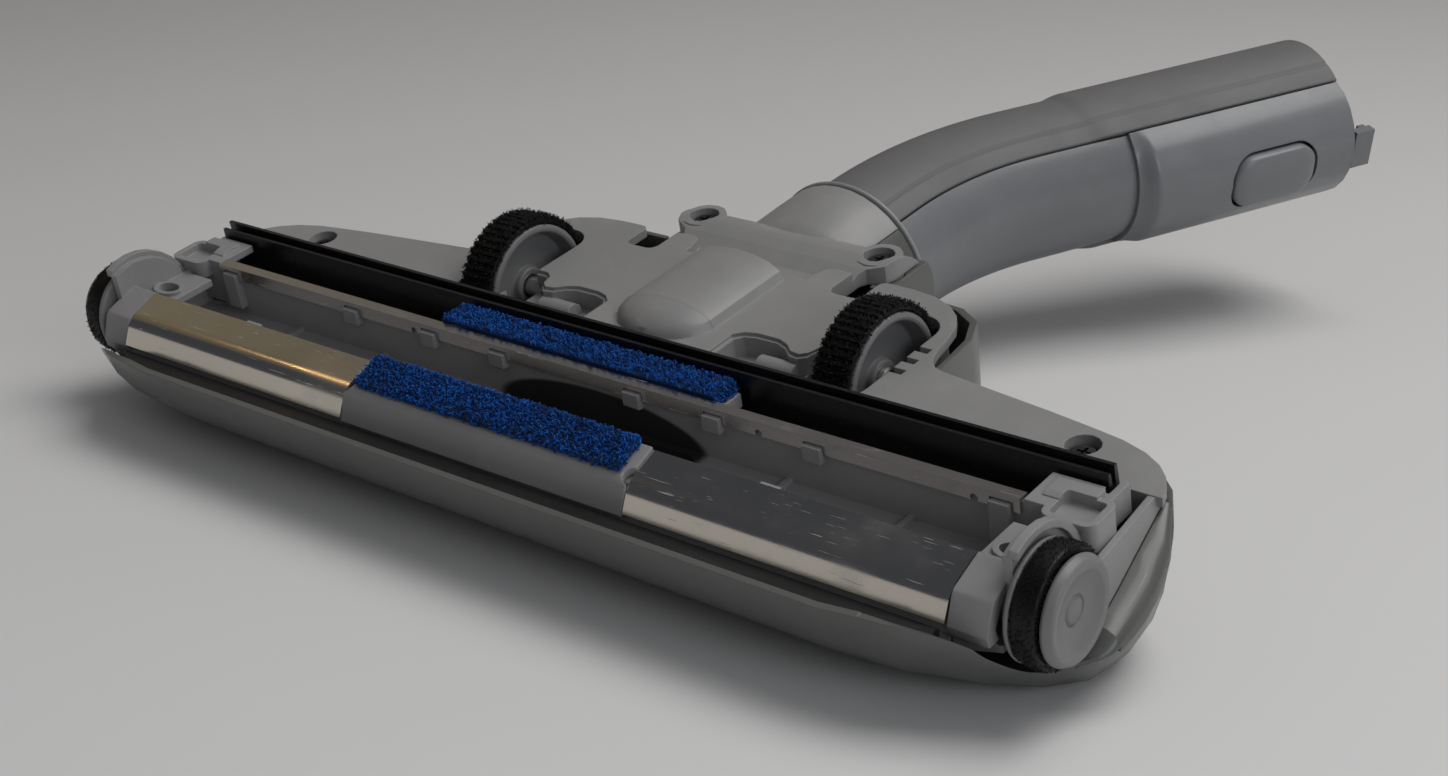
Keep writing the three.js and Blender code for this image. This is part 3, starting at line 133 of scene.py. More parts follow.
class VelourSettings(bpy.types.PropertyGroup):
    blue: colour("Velour", "Colour of the velour", (0.002, 0.125, 0.56))
    loop_height: length("Loop height", "Height of a velour loop", 0.75 * MM)
    loop_width: length("Loop width", "Distance between a loop's feet", 0.7 * MM)
    thread: length("Thread", "Radius of the velour's thread", 0.10 * MM)
    loop_density: FloatProperty(name="Loops per square metre", description="How close the loops stand",
                                default=3.4e6, min=0)


class WheelSettings(bpy.types.PropertyGroup):
    ribs: IntProperty(name="Ribs", description="Ribs round a rear tyre", default=56, min=8)
    pile: length("Pile", "Length of the fibres on the tyres", 0.8 * MM)
    pile_density: FloatProperty(name="Fibres per square metre", description="How close the fibres stand",
                                default=2.3e6, min=0)


class TubeSettings(bpy.types.PropertyGroup):
    radius: length("Tube radius", "Outside radius of the bent tube", 20.2 * MM)
    bend_radius: length("Bend radius", "Radius of the tube's bend", 108 * MM)
    bend: angle("Bend", "Angle of the bend", 26)


SETTINGS = {
    "fh_stage": StageSettings,
    "fh_plastic": PlasticSettings,
    "fh_velour": VelourSettings,
    "fh_wheels": WheelSettings,
    "fh_tube": TubeSettings,
}


# ------------------------------------------------------------------ shader maths
class Sock:
    """A node's output that takes part in plain arithmetic."""

    def __init__(self, look, socket):
        self.look = look
        self.socket = socket

    def maths(self, operation, a, b):
        return self.look.add("ShaderNodeMath", {"operation": operation}, {0: a, 1: b}).value

    def __add__(self, other):
        return self.maths("ADD", self, other)

    def __sub__(self, other):
        return self.maths("SUBTRACT", self, other)

    def __rsub__(self, other):
        return self.maths("SUBTRACT", other, self)

    def __mul__(self, other):
        return self.maths("MULTIPLY", self, other)

    def __truediv__(self, other):
        return self.maths("DIVIDE", self, other)

    __radd__ = __add__
    __rmul__ = __mul__

    def above(self, edge, soft):
        """0 under the edge, 1 past it, with a soft step between."""
        return self.look.add("ShaderNodeMapRange", {"interpolation_type": "SMOOTHSTEP"}, {
            "Value": self, "From Min": edge - soft, "From Max": edge + soft}).value

    def largest(self, other):
        return self.maths("MAXIMUM", self, other)


class Added:
    """A node that was added, with its outputs as arithmetic sockets."""

    def __init__(self, look, node):
        self.look = look
        self.node = node

    def out(self, name):
        return Sock(self.look, self.node.outputs[name])

    @property
    def value(self):
        return Sock(self.look, next(o for o in self.node.outputs if o.enabled))


class Look:
    """A material under construction round one Principled shader."""

    def __init__(self, name):
        self.material = bpy.data.materials.new(name)
        self.material.use_nodes = True
        self.tree = self.material.node_tree
        self.shader = next(n for n in self.tree.nodes if n.type == "BSDF_PRINCIPLED")
        self.place = self.add("ShaderNodeTexCoord").out("Object")

    def add(self, kind, settings=None, inputs=None):
        """Adds a node, with its own settings first and then the values or links of its inputs."""
        node = self.tree.nodes.new(kind)
        for key, value in (settings or {}).items():
            setattr(node, key, value)
        for key, value in (inputs or {}).items():
            self.feed(node.inputs[key], value)
        return Added(self, node)

    def feed(self, socket, value):
        """Links a socket to another one, or sets its value."""
        if isinstance(value, Sock):
            self.tree.links.new(value.socket, socket)
        elif socket.type == "RGBA" and len(value) == 3:
            socket.default_value = (*value, 1)
        else:
            socket.default_value = value

    def set(self, **values):
        """Sets the shader's sockets; an underscore stands for a space."""
        for key, value in values.items():
            self.feed(self.shader.inputs[key.replace("_", " ")], value)

    def stretched(self, scale, turn=(0, 0, 0)):
        """Place scaled by axis, for patterns that run one way."""
        return self.add("ShaderNodeMapping", None,
                        {"Vector": self.place, "Scale": scale, "Rotation": turn}).out("Vector")

    def noise(self, scale, detail=2.0, rough=0.5, vector=None):
        return self.add("ShaderNodeTexNoise", None, {
            "Vector": vector or self.place, "Scale": scale, "Detail": detail, "Roughness": rough,
        }).out("Fac")

    def cells(self, scale):
        return self.add("ShaderNodeTexVoronoi", {"feature": "F1"}, {
            "Vector": self.place, "Scale": scale}).out("Distance")

    def blend(self, share, under, over):
        """Colour that goes from under to over; a Mix node's colours are its inputs 6 and 7."""
        mix = self.add("ShaderNodeMix", {"data_type": "RGBA"}, {0: share, 6: under, 7: over})
        return Sock(self, mix.node.outputs[2])

    def rounded(self, radius):
        """Normal that rounds the edges by this radius, and how much each point is on an edge."""
        soft = self.add("ShaderNodeBevel", {"samples": 4}, {"Radius": radius}).out("Normal")
        flat = self.add("ShaderNodeNewGeometry").out("Normal")
        dot = self.add("ShaderNodeVectorMath", {"operation": "DOT_PRODUCT"}, {0: soft, 1: flat})
        return soft, (1 - dot.out("Value")) * 5

    def bump(self, height, strength, distance, normal=None):
        """Feeds the shader's normal with this relief, on top of another normal if one is given."""
        inputs = {"Height": height, "Strength": strength, "Distance": distance}
        if normal:
            inputs["Normal"] = normal
        self.set(Normal=self.add("ShaderNodeBump", None, inputs).out("Normal"))


def lighter(shade, by):
    return tuple(min(1.0, c * by) for c in shade)


def plastic_look(name, shade, rough, coat=0.0, grain=0.5, floor_shade=0.0, floor_shade_top=20 * MM, mouth_shade=None):
    """Moulded plastic: uneven tone, grain, smudges, dust, paler rubbed edges, and painted shade near the
    floor and, if given, round the suction mouth.
    """
    look = Look(name)
    broad = look.noise(22, 3, 0.55)
    patch = look.noise(160, 4, 0.6)
    tone = look.blend(broad.above(0.5, 0.22), lighter(shade, 0.93), lighter(shade, 1.06))
    tone = look.blend(patch.above(0.62, 0.12) * 0.35, tone, lighter(shade, 1.16))
    edge_normal, worn = look.rounded(0.4 * MM)
    specks = (1 - look.cells(1400).above(0.13, 0.05)) * look.noise(90, 3).above(0.56, 0.06)
    tone = look.blend((specks * 0.5).largest(worn.above(0.5, 0.45) * 0.30), tone, lighter(shade, 1.9))
    smudge = look.noise(45, 4, 0.62).above(0.56, 0.12)
    place = look.add("ShaderNodeSeparateXYZ", None, {0: look.place})
    # Painted shade: the tone darkens towards the floor, where the part faces it.
    low = 1 - place.out("Z").above(floor_shade_top / 2, floor_shade_top / 2)
    tone = look.blend(low * floor_shade, tone, lighter(shade, 0.25))
    # Painted shade: a nearly black patch round the suction mouth.
    if mouth_shade:
        tone = look.blend(mouth_shade_mask(place, **mouth_shade) * 0.94, tone, (0.004, 0.004, 0.004))
    look.set(Base_Color=tone, Roughness=rough + smudge * 0.10 + (patch - 0.5) * 0.10, Coat_Weight=coat,
             Coat_Roughness=0.12, IOR=1.5)
    look.bump(look.noise(5200, 2) * 0.6 + look.noise(900, 2) * 0.8, grain, 0.02 * MM, edge_normal)
    return look.material


def mouth_shade_mask(place, along, half_long, middle, half_high, back):
    """Mask of painted shade round the suction mouth: 1 inside an upright ellipse on what lies behind the
    given depth, 0 elsewhere.
    """
    across = (place.out("X") - along) / half_long
    up = (place.out("Z") - middle) / half_high
    return (1 - (across * across + up * up).above(1.0, 0.10)) * place.out("Y").above(back, 1 * MM)


SCRATCHES = ((0.35, 0.735), (-0.6, 0.745), (1.2, 0.75), (0.08, 0.74))  # turn, and the noise they start at


def steel_look(name, shade, rough, scratched=0.5):
    """Rolled stainless sheet: fine lines along its length, and scratches across them."""
    look = Look(name)
    rolled = look.noise(1, 3, 0.6, look.stretched((60, 9000, 9000)))
    film = look.noise(30, 4, 0.6)
    lines = None
    for turn, start in SCRATCHES:
        line = look.noise(1, 2, 0.5, look.stretched((90, 5200, 900), (0.0, 0.0, turn))).above(start, 0.02)
        lines = line if lines is None else lines.largest(line)
    tone = look.blend(film.above(0.5, 0.2), lighter(shade, 0.88), shade)
    tone = look.blend(lines * scratched, tone, (0.9, 0.9, 0.88))
    look.set(Base_Color=tone, Metallic=1 - lines * scratched,
             Roughness=rough + rolled * 0.10 + film.above(0.58, 0.1) * 0.12 + lines * (0.3 * scratched))
    look.bump(rolled + lines * 1.5, 0.25, 0.006 * MM)
    return look.material


def rubber_look(name, shade, rough):
    """Rubber: nearly black, with dusty smears."""
    look = Look(name)
    smear = look.noise(1, 4, 0.6, look.stretched((40, 300, 300)))
    dusty = look.noise(700, 3, 0.7).above(0.68, 0.08)
    tone = look.blend(smear.above(0.55, 0.15) * 0.6, shade, lighter(shade, 2.2))
    tone = look.blend(dusty * 0.35, tone, (0.10, 0.10, 0.10))
    look.set(Base_Color=tone, Roughness=rough + smear * 0.16 + dusty * 0.2, IOR=1.5)
    look.bump(look.noise(2500, 2), 0.4, 0.015 * MM)
    return look.material


def pile_look(name, dark, light, sheen):
    """Fibres: each has its own tint, and a sheen at grazing angles."""
    look = Look(name)
    tint = look.add("ShaderNodeAttribute", {"attribute_name": "tint"}).out("Fac")
    patch = look.noise(260, 3, 0.6)
    tone = look.blend(tint * 0.95 + (patch - 0.5) * 0.5, dark, light)
    look.set(Base_Color=tone, Roughness=0.5 + tint * 0.2, Sheen_Weight=sheen, Sheen_Roughness=0.4,
             Sheen_Tint=(*lighter(light, 1.4), 1), Specular_IOR_Level=0.35)
    look.bump(look.noise(3000, 2), 0.4, 0.02 * MM)
    return look.material


# Painted shade: dark patch round the suction mouth on the trough's rear wall, in the room's metres.
SUCTION_MOUTH_SHADE = {
    "along": 8 * MM, "half_long": 30 * MM, "middle": 21.5 * MM, "half_high": 8.5 * MM, "back": -44 * MM,
}


def recipes(scene):
    """The maker of each finish, and what it is given."""
    plastics = scene.fh_plastic
    velour = tuple(scene.fh_velour.blue)
    return {
        # The cover and the frame are darkened near the floor as painted shade; the frame also gets painted
        # shade round the suction mouth.
        "cover_plastic": (plastic_look, {"shade": tuple(plastics.cover), "rough": 0.36, "coat": 0.25,
                                         "grain": 0.25, "floor_shade": 0.8}),
        "sole_plastic": (plastic_look, {"shade": tuple(plastics.sole), "rough": 0.45, "coat": 0.12}),
        "frame_plastic": (plastic_look, {"shade": tuple(plastics.frame), "rough": 0.40, "coat": 0.12,
                                         "floor_shade": 0.42, "floor_shade_top": 32 * MM, "mouth_shade": SUCTION_MOUTH_SHADE}),
        "hub_plastic": (plastic_look, {"shade": tuple(plastics.hub), "rough": 0.38}),
        "elbow_dark_plastic": (plastic_look, {"shade": tuple(plastics.elbow_dark), "rough": 0.58}),
        "elbow_cool_plastic": (plastic_look, {"shade": tuple(plastics.elbow_cool), "rough": 0.34,
                                              "coat": 0.15}),
        "slide_steel": (steel_look, {"shade": (0.82, 0.79, 0.72), "rough": 0.09}),
        "strip_steel": (steel_look, {"shade": (0.66, 0.63, 0.60), "rough": 0.16}),
        "spring_steel": (steel_look, {"shade": (0.62, 0.62, 0.62), "rough": 0.25, "scratched": 0.2}),
        "axle_steel": (steel_look, {"shade": (0.66, 0.66, 0.66), "rough": 0.25, "scratched": 0.2}),
        "screw_steel": (steel_look, {"shade": (0.10, 0.10, 0.11), "rough": 0.35, "scratched": 0.2}),
        "flap_rubber": (rubber_look, {"shade": (0.006, 0.006, 0.007), "rough": 0.22}),
        "seal_rubber": (rubber_look, {"shade": (0.008, 0.008, 0.008), "rough": 0.55}),
        "tyre_felt": (pile_look, {"dark": (0.001, 0.001, 0.001), "light": (0.012, 0.011, 0.012),
                                  "sheen": 0.05}),
        "velour": (pile_look, {"dark": lighter(velour, 0.12), "light": lighter(velour, 1.15),
                               "sheen": 0.16}),
    }


LOOKS = {}


def look_of(name):
    """The named finish, made once."""
    if name not in LOOKS:
        maker, values = recipes(bpy.context.scene)[name]
        LOOKS[name] = maker(name, **values)
    return LOOKS[name]


# ------------------------------------------------------------------ mesh helpers
CAD_WELD = 2e-6  # corners of a CAD node closer than this are one, in metres
WELD = 1e-4  # corners of a mesh made here closer than this are one, in millimetres
NEARLY_FLAT = math.radians(0.6)  # bend between two faces that become one


def soften(points, radius, steps=3, closed=True):
    """Rounds the corners of a flat outline."""
    spots = [Vector(p) for p in points]
    nearly_straight = math.radians(86)
    out = []
    for i, p in enumerate(spots):
        before = spots[i - 1] - p
        after = spots[(i + 1) % len(spots)] - p
        if (not closed and i in (0, len(spots) - 1)) or min(before.length, after.length) < 1e-6:
            out.append(p)
            continue
        half = before.angle(after) / 2
        if half > nearly_straight:
            out.append(p)
            continue
        reach = min(radius / math.tan(half), 0.45 * before.length, 0.45 * after.length)
        start = p + before.normalized() * reach
        end = p + after.normalized() * reach
        for k in range(steps + 1):
            t = k / steps
            out.append(start * (1 - t) ** 2 + p * (2 * t * (1 - t)) + end * t ** 2)
    return out


def loft(rings, looped=False):
    """Mesh through closed rings of equal length, with flat ends unless it is looped."""
    mesh = bmesh.new()
    rows = [[mesh.verts.new(p) for p in ring] for ring in rings]
    following = rows[1:] + rows[:1] if looped else rows[1:]
    for a, b in zip(rows, following):
        for i in range(len(a)):
            j = (i + 1) % len(a)
            mesh.faces.new((a[i], a[j], b[j], b[i]))
    if not looped:
        mesh.faces.new(rows[0][::-1])
        mesh.faces.new(rows[-1])
    return mesh


def bar(section, x0, x1):
    """Draws a (y, z) section out along X."""
    return loft([[Vector((x, *spot)) for spot in section] for x in (x0, x1)])


def lathe(profile, axis, segments=96):
    """Turns a closed (radius, height) profile round the X or Y axis."""
    rings = []
    for k in range(segments):
        turn = 2 * math.pi * k / segments
        c, s = math.cos(turn), math.sin(turn)
        if axis == "X":
            rings.append([Vector((height, radius * c, radius * s)) for radius, height in profile])
        else:
            rings.append([Vector((radius * c, height, radius * s)) for radius, height in profile])
    return loft(rings, looped=True)


def joined(*meshes):
    """One mesh that holds these meshes, which are used up."""
    whole = bmesh.new()
    for part in meshes:
        data = bpy.data.meshes.new("part")
        part.to_mesh(data)
        part.free()
        whole.from_mesh(data)
        bpy.data.meshes.remove(data)
    return whole


def merged(node):
    """A copy of a CAD node's mesh with its loose triangles sewn together."""
    mesh = bmesh.new()
    mesh.from_mesh(frame["nodes"][node].data)
    bmesh.ops.remove_doubles(mesh, verts=mesh.verts, dist=CAD_WELD)
    return mesh


def plain(name, mesh, place, sharp=32):
    """Mesh data of a mesh in millimetres, put in its place in the room."""
    bmesh.ops.remove_doubles(mesh, verts=mesh.verts, dist=WELD)
    mesh.transform(place)
    bmesh.ops.recalc_face_normals(mesh, faces=mesh.faces)
    shade(mesh, sharp)
    return data_of(name, mesh)


def data_of(name, mesh):
    data = bpy.data.meshes.new(name)
    mesh.to_mesh(data)
    mesh.free()
    return data


def piece(name, mesh, place, body, slot, nodes=(), sharp=32):
    """Turns a mesh in millimetres into a finished object that rides on a body."""
    return settle(name, plain(name, mesh, place, sharp), body, slot, nodes)


def shade(mesh, sharp):
    """Smooth faces, with sharp edges from this angle on."""
    limit = math.radians(sharp)
    for face in mesh.faces:
        face.smooth = True
    for edge in mesh.edges:
        edge.smooth = edge.is_manifold and edge.calc_face_angle(math.pi) < limit


def settle(name, data, body, slot, nodes=()):
    """Links a mesh as a named piece with its finish, body and replaced nodes."""
    made = bpy.data.objects.new(name, data)
    bpy.context.scene.collection.objects.link(made)
    data.materials.clear()
    data.materials.append(look_of(slot))
    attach(made, body)
    if nodes:
        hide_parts(*nodes)
    return made


def dressed(node, body, slot, sharp=30, trim=None):
    """A merged, softly shaded copy of a CAD node that takes its place."""
    mesh = merged(node)
    if trim:
        trim(mesh)
    bmesh.ops.dissolve_limit(mesh, angle_limit=NEARLY_FLAT, verts=mesh.verts, edges=mesh.edges)
    bmesh.ops.triangulate(mesh, faces=[f for f in mesh.faces if len(f.verts) > 4])
    shade(mesh, sharp)
    name = node + "_finished"
    made = settle(name, data_of(name, mesh), body, slot, (node,))
    even = made.modifiers.new("even_shading", "WEIGHTED_NORMAL")
    even.keep_sharp = True
    return made


# ------------------------------------------------------------------ geometry nodes
class Growth:
    """A geometry node tree under construction."""

    def __init__(self, name, inputs):
        self.tree = bpy.data.node_groups.new(name, "GeometryNodeTree")
        face = self.tree.interface
        face.new_socket("Geometry", in_out="INPUT", socket_type="NodeSocketGeometry")
        for label, kind in inputs:
            face.new_socket(label, in_out="INPUT", socket_type="NodeSocket" + kind)
        face.new_socket("Geometry", in_out="OUTPUT", socket_type="NodeSocketGeometry")
        self.given = self.tree.nodes.new("NodeGroupInput").outputs
        self.result = self.tree.nodes.new("NodeGroupOutput").inputs[0]

    def add(self, kind, settings=None, inputs=None):
        """Adds a node and returns its outputs; an input given a list takes every link in it."""
        node = self.tree.nodes.new(kind)
        for key, value in (settings or {}).items():
            setattr(node, key, value)
        for key, value in (inputs or {}).items():
            for item in value if isinstance(value, list) else [value]:
                if isinstance(item, bpy.types.NodeSocket):
                    self.tree.links.new(item, node.inputs[key])
                else:
                    node.inputs[key].default_value = item
        return node.outputs

    def maths(self, operation, a, b):
        return self.add("ShaderNodeMath", {"operation": operation}, {0: a, 1: b})[0]

    def random(self, low, high, seed):
        return self.add("FunctionNodeRandomValue", {"data_type": "FLOAT"},
                        {2: low, 3: high, "Seed": seed})[1]

    def finish(self, geometry, material):
        """Ends the tree with real geometry in one material."""
        real = self.add("GeometryNodeRealizeInstances", None, {0: geometry})[0]
        done = self.add("GeometryNodeSetMaterial", None, {"Geometry": real, "Material": material})[0]
        self.tree.links.new(done, self.result)


def pile_tree():
    """Grows arched fibres on the faces that look up at least as much as Lowest Facing; -2 takes them all."""
    grow = Growth("pile", [("Density", "Float"), ("Height", "Float"), ("Width", "Float"),
                           ("Thickness", "Float"), ("Bends", "Int"), ("Tilt", "Float"),
                           ("Lowest Facing", "Float"), ("Seed", "Int"), ("Finish", "Material")])
    given = grow.given
    normal = grow.add("GeometryNodeInputNormal")[0]
    up = grow.add("ShaderNodeSeparateXYZ", None, {0: normal})[2]
    open_faces = grow.add("FunctionNodeCompare", {"operation": "GREATER_THAN"},
                          {0: up, 1: given["Lowest Facing"]})[0]
    points = grow.add("GeometryNodeDistributePointsOnFaces", None, {
        "Mesh": given["Geometry"], "Selection": open_faces, "Density": given["Density"],
        "Seed": given["Seed"]})
    half = grow.maths("MULTIPLY", given["Width"], 0.5)
    low = grow.maths("MULTIPLY", half, -1.0)
    top = grow.maths("MULTIPLY", given["Height"], 2.0)
    start = grow.add("ShaderNodeCombineXYZ", None, {0: low})[0]
    middle = grow.add("ShaderNodeCombineXYZ", None, {0: 0.0, 2: top})[0]
    end = grow.add("ShaderNodeCombineXYZ", None, {0: half})[0]
    arch = grow.add("GeometryNodeCurveQuadraticBezier", None,
                    {"Resolution": given["Bends"], "Start": start, "Middle": middle, "End": end})[0]
    ring = grow.add("GeometryNodeCurvePrimitiveCircle", None,
                    {"Resolution": 3, "Radius": given["Thickness"]})[0]
    strand = grow.add("GeometryNodeCurveToMesh", None, {"Curve": arch, "Profile Curve": ring})[0]
    lean_x = grow.random(-1.0, 1.0, 11)
    lean_y = grow.random(-1.0, 1.0, 12)
    spin = grow.random(0.0, 6.283, 13)  # a full turn
    tip = grow.add("ShaderNodeCombineXYZ", None, {
        0: grow.maths("MULTIPLY", lean_x, given["Tilt"]),
        1: grow.maths("MULTIPLY", lean_y, given["Tilt"]), 2: spin})[0]
    turned = grow.add("FunctionNodeRotateRotation", {"rotation_space": "LOCAL"}, {
        0: points["Rotation"], 1: grow.add("FunctionNodeEulerToRotation", None, {0: tip})[0]})[0]
    size = grow.random(0.65, 1.25, 14)
    many = grow.add("GeometryNodeInstanceOnPoints", None, {
        "Points": points["Points"], "Instance": strand, "Rotation": turned, "Scale": size})[0]
    tinted = grow.add("GeometryNodeStoreNamedAttribute", {"data_type": "FLOAT", "domain": "INSTANCE"}, {
        "Geometry": many, "Name": "tint", "Value": grow.random(0.0, 1.0, 15)})[0]
    both = grow.add("GeometryNodeJoinGeometry", None, {0: [given["Geometry"], tinted]})[0]
    grow.finish(both, given["Finish"])
    return grow.tree


def rib_tree():
    """Repeats one rib round the X axis."""
    grow = Growth("ribs", [("Ribs", "Int"), ("Finish", "Material")])
    given = grow.given
    spots = grow.add("GeometryNodePoints", None, {"Count": given["Ribs"]})[0]
    number = grow.add("GeometryNodeInputIndex")[0]
    turn = grow.maths("MULTIPLY", number, grow.maths("DIVIDE", 2 * math.pi, given["Ribs"]))
    flat = grow.add("ShaderNodeCombineXYZ", None, {0: turn})[0]
    ringed = grow.add("GeometryNodeInstanceOnPoints", None, {
        "Points": spots, "Instance": given["Geometry"],
        "Rotation": grow.add("FunctionNodeEulerToRotation", None, {0: flat})[0]})[0]
    grow.finish(ringed, given["Finish"])
    return grow.tree


def grown(base, tree, values):
    """Runs a tree on a mesh and returns the plain mesh it makes."""
    carrier = bpy.data.objects.new("carrier", base)
    bpy.context.scene.collection.objects.link(carrier)
    modifier = carrier.modifiers.new("grow", "NODES")
    modifier.node_group = tree
    ids = {item.name: item.identifier for item in tree.interface.items_tree if item.in_out == "INPUT"}
    for label, value in values.items():
        modifier[ids[label]] = value
    seen = carrier.evaluated_get(bpy.context.evaluated_depsgraph_get())
    made = bpy.data.meshes.new_from_object(seen)
    carrier.modifiers.clear()
    bpy.data.objects.remove(carrier)
    return made


# ------------------------------------------------------------------ operators
class FH_OT_stage(bpy.types.Operator):
    """Adds the floor, the lamps and the camera"""

    bl_idname = "floor_head.stage"
    bl_label = "Stage"
    bl_options = {"REGISTER", "UNDO"}

    def execute(self, context):
        stage = context.scene.fh_stage
        self.floor(stage)
        self.lamps(stage)
        self.room(stage)
        self.camera(context.scene, stage)
        context.scene.view_settings.view_transform = "Standard"
        return {"FINISHED"}

    def floor(self, stage):
        """A sheet of paper that lies under the part and curves up behind it."""
        half_wide = 3.0
        mesh = bmesh.new()
        rows = [[mesh.verts.new((x, y, z)) for x in (-half_wide, half_wide)] for y, z in self.sweep()]
        for a, b in zip(rows, rows[1:]):
            mesh.faces.new((a[0], a[1], b[1], b[0]))
        mesh.transform(Matrix.Rotation(stage.azimuth, 4, "Z"))
        for face in mesh.faces:
            face.smooth = True
        data = data_of("floor", mesh)
        floor = bpy.data.objects.new("floor", data)
        bpy.context.scene.collection.objects.link(floor)
        data.materials.append(self.paper(stage))

    def sweep(self):
        """The paper's (depth, height) line: flat, a quarter round and an upright wall."""
        near, bend_start, bend_radius, wall_top, steps = -2.5, 1.0, 0.8, 2.6, 12
        points = [(near, 0.0), (bend_start, 0.0)]
        for k in range(1, steps + 1):
            turn = math.pi / 2 * k / steps
            points.append((bend_start + bend_radius * math.sin(turn), bend_radius * (1 - math.cos(turn))))
        points.append((bend_start + bend_radius, wall_top))
        return points

    def paper(self, stage):
        """Matt paper, with painted shade that darkens it with depth, and faintly uneven."""
        look = Look("paper")
        depth = look.add("ShaderNodeVectorMath", {"operation": "DOT_PRODUCT"}, {
            0: look.place, 1: (-math.sin(stage.azimuth), math.cos(stage.azimuth), 0)}).out("Value")
        # Painted shade: the paper's colour goes from the near to the far colour with depth.
        painted_depth_shade = look.blend(depth.above(0.12, 0.75), tuple(stage.near), tuple(stage.far))
        look.set(Base_Color=look.blend(look.noise(6, 3) * 0.06, painted_depth_shade, (0.30, 0.30, 0.30)),
                 Roughness=0.8)
        look.bump(look.noise(900, 3), 0.15, 0.05 * MM)
        return look.material

    def lamps(self, stage):
        """Two lamps that light the part, and four cards that only its glossy finishes mirror."""
        self.lamp("key", (0.38, 0.38, 1.14), (0, 0.02, 0.03), (0.9, 0.9), stage.key, (1.0, 0.99, 0.97))
        self.lamp("fill", (1.35, -0.45, 0.60), (0.08, 0, 0.03), (0.8, 0.6), stage.fill, (0.93, 0.96, 1.0))
        for name, spot, height, size, energy, tint in (
                ("low_card", (-1.2, -1.3, 0.17), 0.05, (2.6, 0.34), stage.low_card, (1.0, 0.93, 0.85)),
                ("warm_card", (-1.35, 0.05, 0.98), 0.05, (1.4, 0.5), stage.warm_card, (0.92, 0.66, 0.12)),
                ("spark", (-0.75, -0.25, 0.72), 0.03, (0.04, 0.04), stage.spark, (1.0, 0.60, 0.25)),
                ("glint", (0.55, 0.10, 1.0), 0.03, (0.05, 0.05), stage.spark, (1.0, 1.0, 1.0))):
            card = self.lamp(name, spot, (0, 0, height), size, energy, tint)
            card.visible_diffuse = False

    def lamp(self, name, spot, aim, size, energy, tint):
        """A rectangular lamp at a spot, turned towards its aim."""
        light = bpy.data.lights.new(name, "AREA")
        light.shape = "RECTANGLE"
        light.size, light.size_y = size
        light.energy = energy
        light.color = tint
        made = bpy.data.objects.new(name, light)
        made.location = spot
        made.rotation_euler = (Vector(aim) - Vector(spot)).to_track_quat("-Z", "Y").to_euler()
        bpy.context.scene.collection.objects.link(made)
        return made

    def room(self, stage):
        """Even light for matt surfaces, and a dim ceiling for the steel to reflect."""
        world = bpy.data.worlds.new("room")
        world.use_nodes = True
        nodes = world.node_tree.nodes
        links = world.node_tree.links
        back = next(n for n in nodes if n.type == "BACKGROUND")
        back.inputs["Color"].default_value = (0.94, 0.95, 0.97, 1)
        dim = nodes.new("ShaderNodeBackground")
        dim.inputs["Color"].default_value = (0.75, 0.80, 0.95, 1)
        dim.inputs["Strength"].default_value = stage.ceiling
        back.inputs["Strength"].default_value = stage.sky
        ray = nodes.new("ShaderNodeLightPath")
        mix = nodes.new("ShaderNodeMixShader")
        links.new(ray.outputs["Is Glossy Ray"], mix.inputs[0])
        links.new(back.outputs[0], mix.inputs[1])
        links.new(dim.outputs[0], mix.inputs[2])
        links.new(mix.outputs[0], next(n for n in nodes if n.type == "OUTPUT_WORLD").inputs[0])
        bpy.context.scene.world = world

    def camera(self, scene, stage):
        eye = bpy.data.cameras.new("eye")
        eye.lens = stage.lens
        eye.sensor_width = 36
        eye.clip_start = 0.01
        made = bpy.data.objects.new("eye", eye)
        made.location = stage.eye
        made.rotation_euler = Euler((math.pi / 2 - stage.elevation, 0, stage.azimuth))
        scene.collection.objects.link(made)
        scene.camera = made


class FH_OT_mouldings(bpy.types.Operator):
    """Finishes the moulded cover, base, frame, carrier and seal"""

    bl_idname = "floor_head.mouldings"
    bl_label = "Mouldings"
    bl_options = {"REGISTER", "UNDO"}

    def execute(self, context):
        for node, slot in (("top_cover", "cover_plastic"), ("base_plate", "sole_plastic"),
                           ("sole_frame", "frame_plastic"), ("front_pad_carrier", "frame_plastic")):
            dressed(node, "floor_head", slot)
        self.seal()
        for side, sign in SIDES:
            self.shoulder_end(side, sign)
        return {"FINISHED"}

    def seal(self):
        """Dark band that fills the slit between the slides and the cover's lip."""
        lip = ((118, 36.2), (114, 37.8), (110, 38.7), (104, 39.4), (98, 40.1))  # curved end: across, forward
        back, foot = -33.3, -13.0

        def section(front):
            return ((back, -9.4), (1.4 - front, -8.5), (0.3 - front, -9.0), (2.6 - front, foot),
                    (back - 1.0, foot))

        stations = [(-x, front) for x, front in lip] + list(reversed(lip))
        rings = [[Vector((x, *spot)) for spot in section(front)] for x, front in stations]
        piece("lip_seal", loft(rings), HEAD, "floor_head", "seal_rubber", ("front_seal_strip",))

    def shoulder_end(self, side, sign):
        """Lets the cover's round end shoulder run out into the low rim under the front wheel."""
        rows = (  # along the head, inner and outer edge across it, height of the crest and of the outer edge
            (-10.3, 136.3, 141.0, -16.95, -20.3), (-11.6, 136.0, 140.8, -17.7, -20.5),
            (-13.0, 135.6, 140.3, -18.7, -20.7), (-14.6, 135.2, 139.4, -19.5, -20.9),
            (-16.4, 134.8, 137.9, -20.0, -21.1), (-18.0, 134.4, 136.6, -20.3, -21.3),
        )
        steps, skirt, draft = 8, 2.0, 2.2
        rings = []
        for y, inside, outside, top, foot in rows:
            section = []
            for k in range(steps + 1):
                turn = math.pi / 2 * k / steps
                section.append((inside + (outside - inside) * math.sin(turn),
                                foot + (top - foot) * math.cos(turn)))
            section += [(outside - draft, foot - skirt), (inside, foot - skirt)]
            rings.append([Vector((sign * x, y, z)) for x, z in section])
        piece("shoulder_end_" + side, loft(rings), HEAD, "floor_head", "cover_plastic")


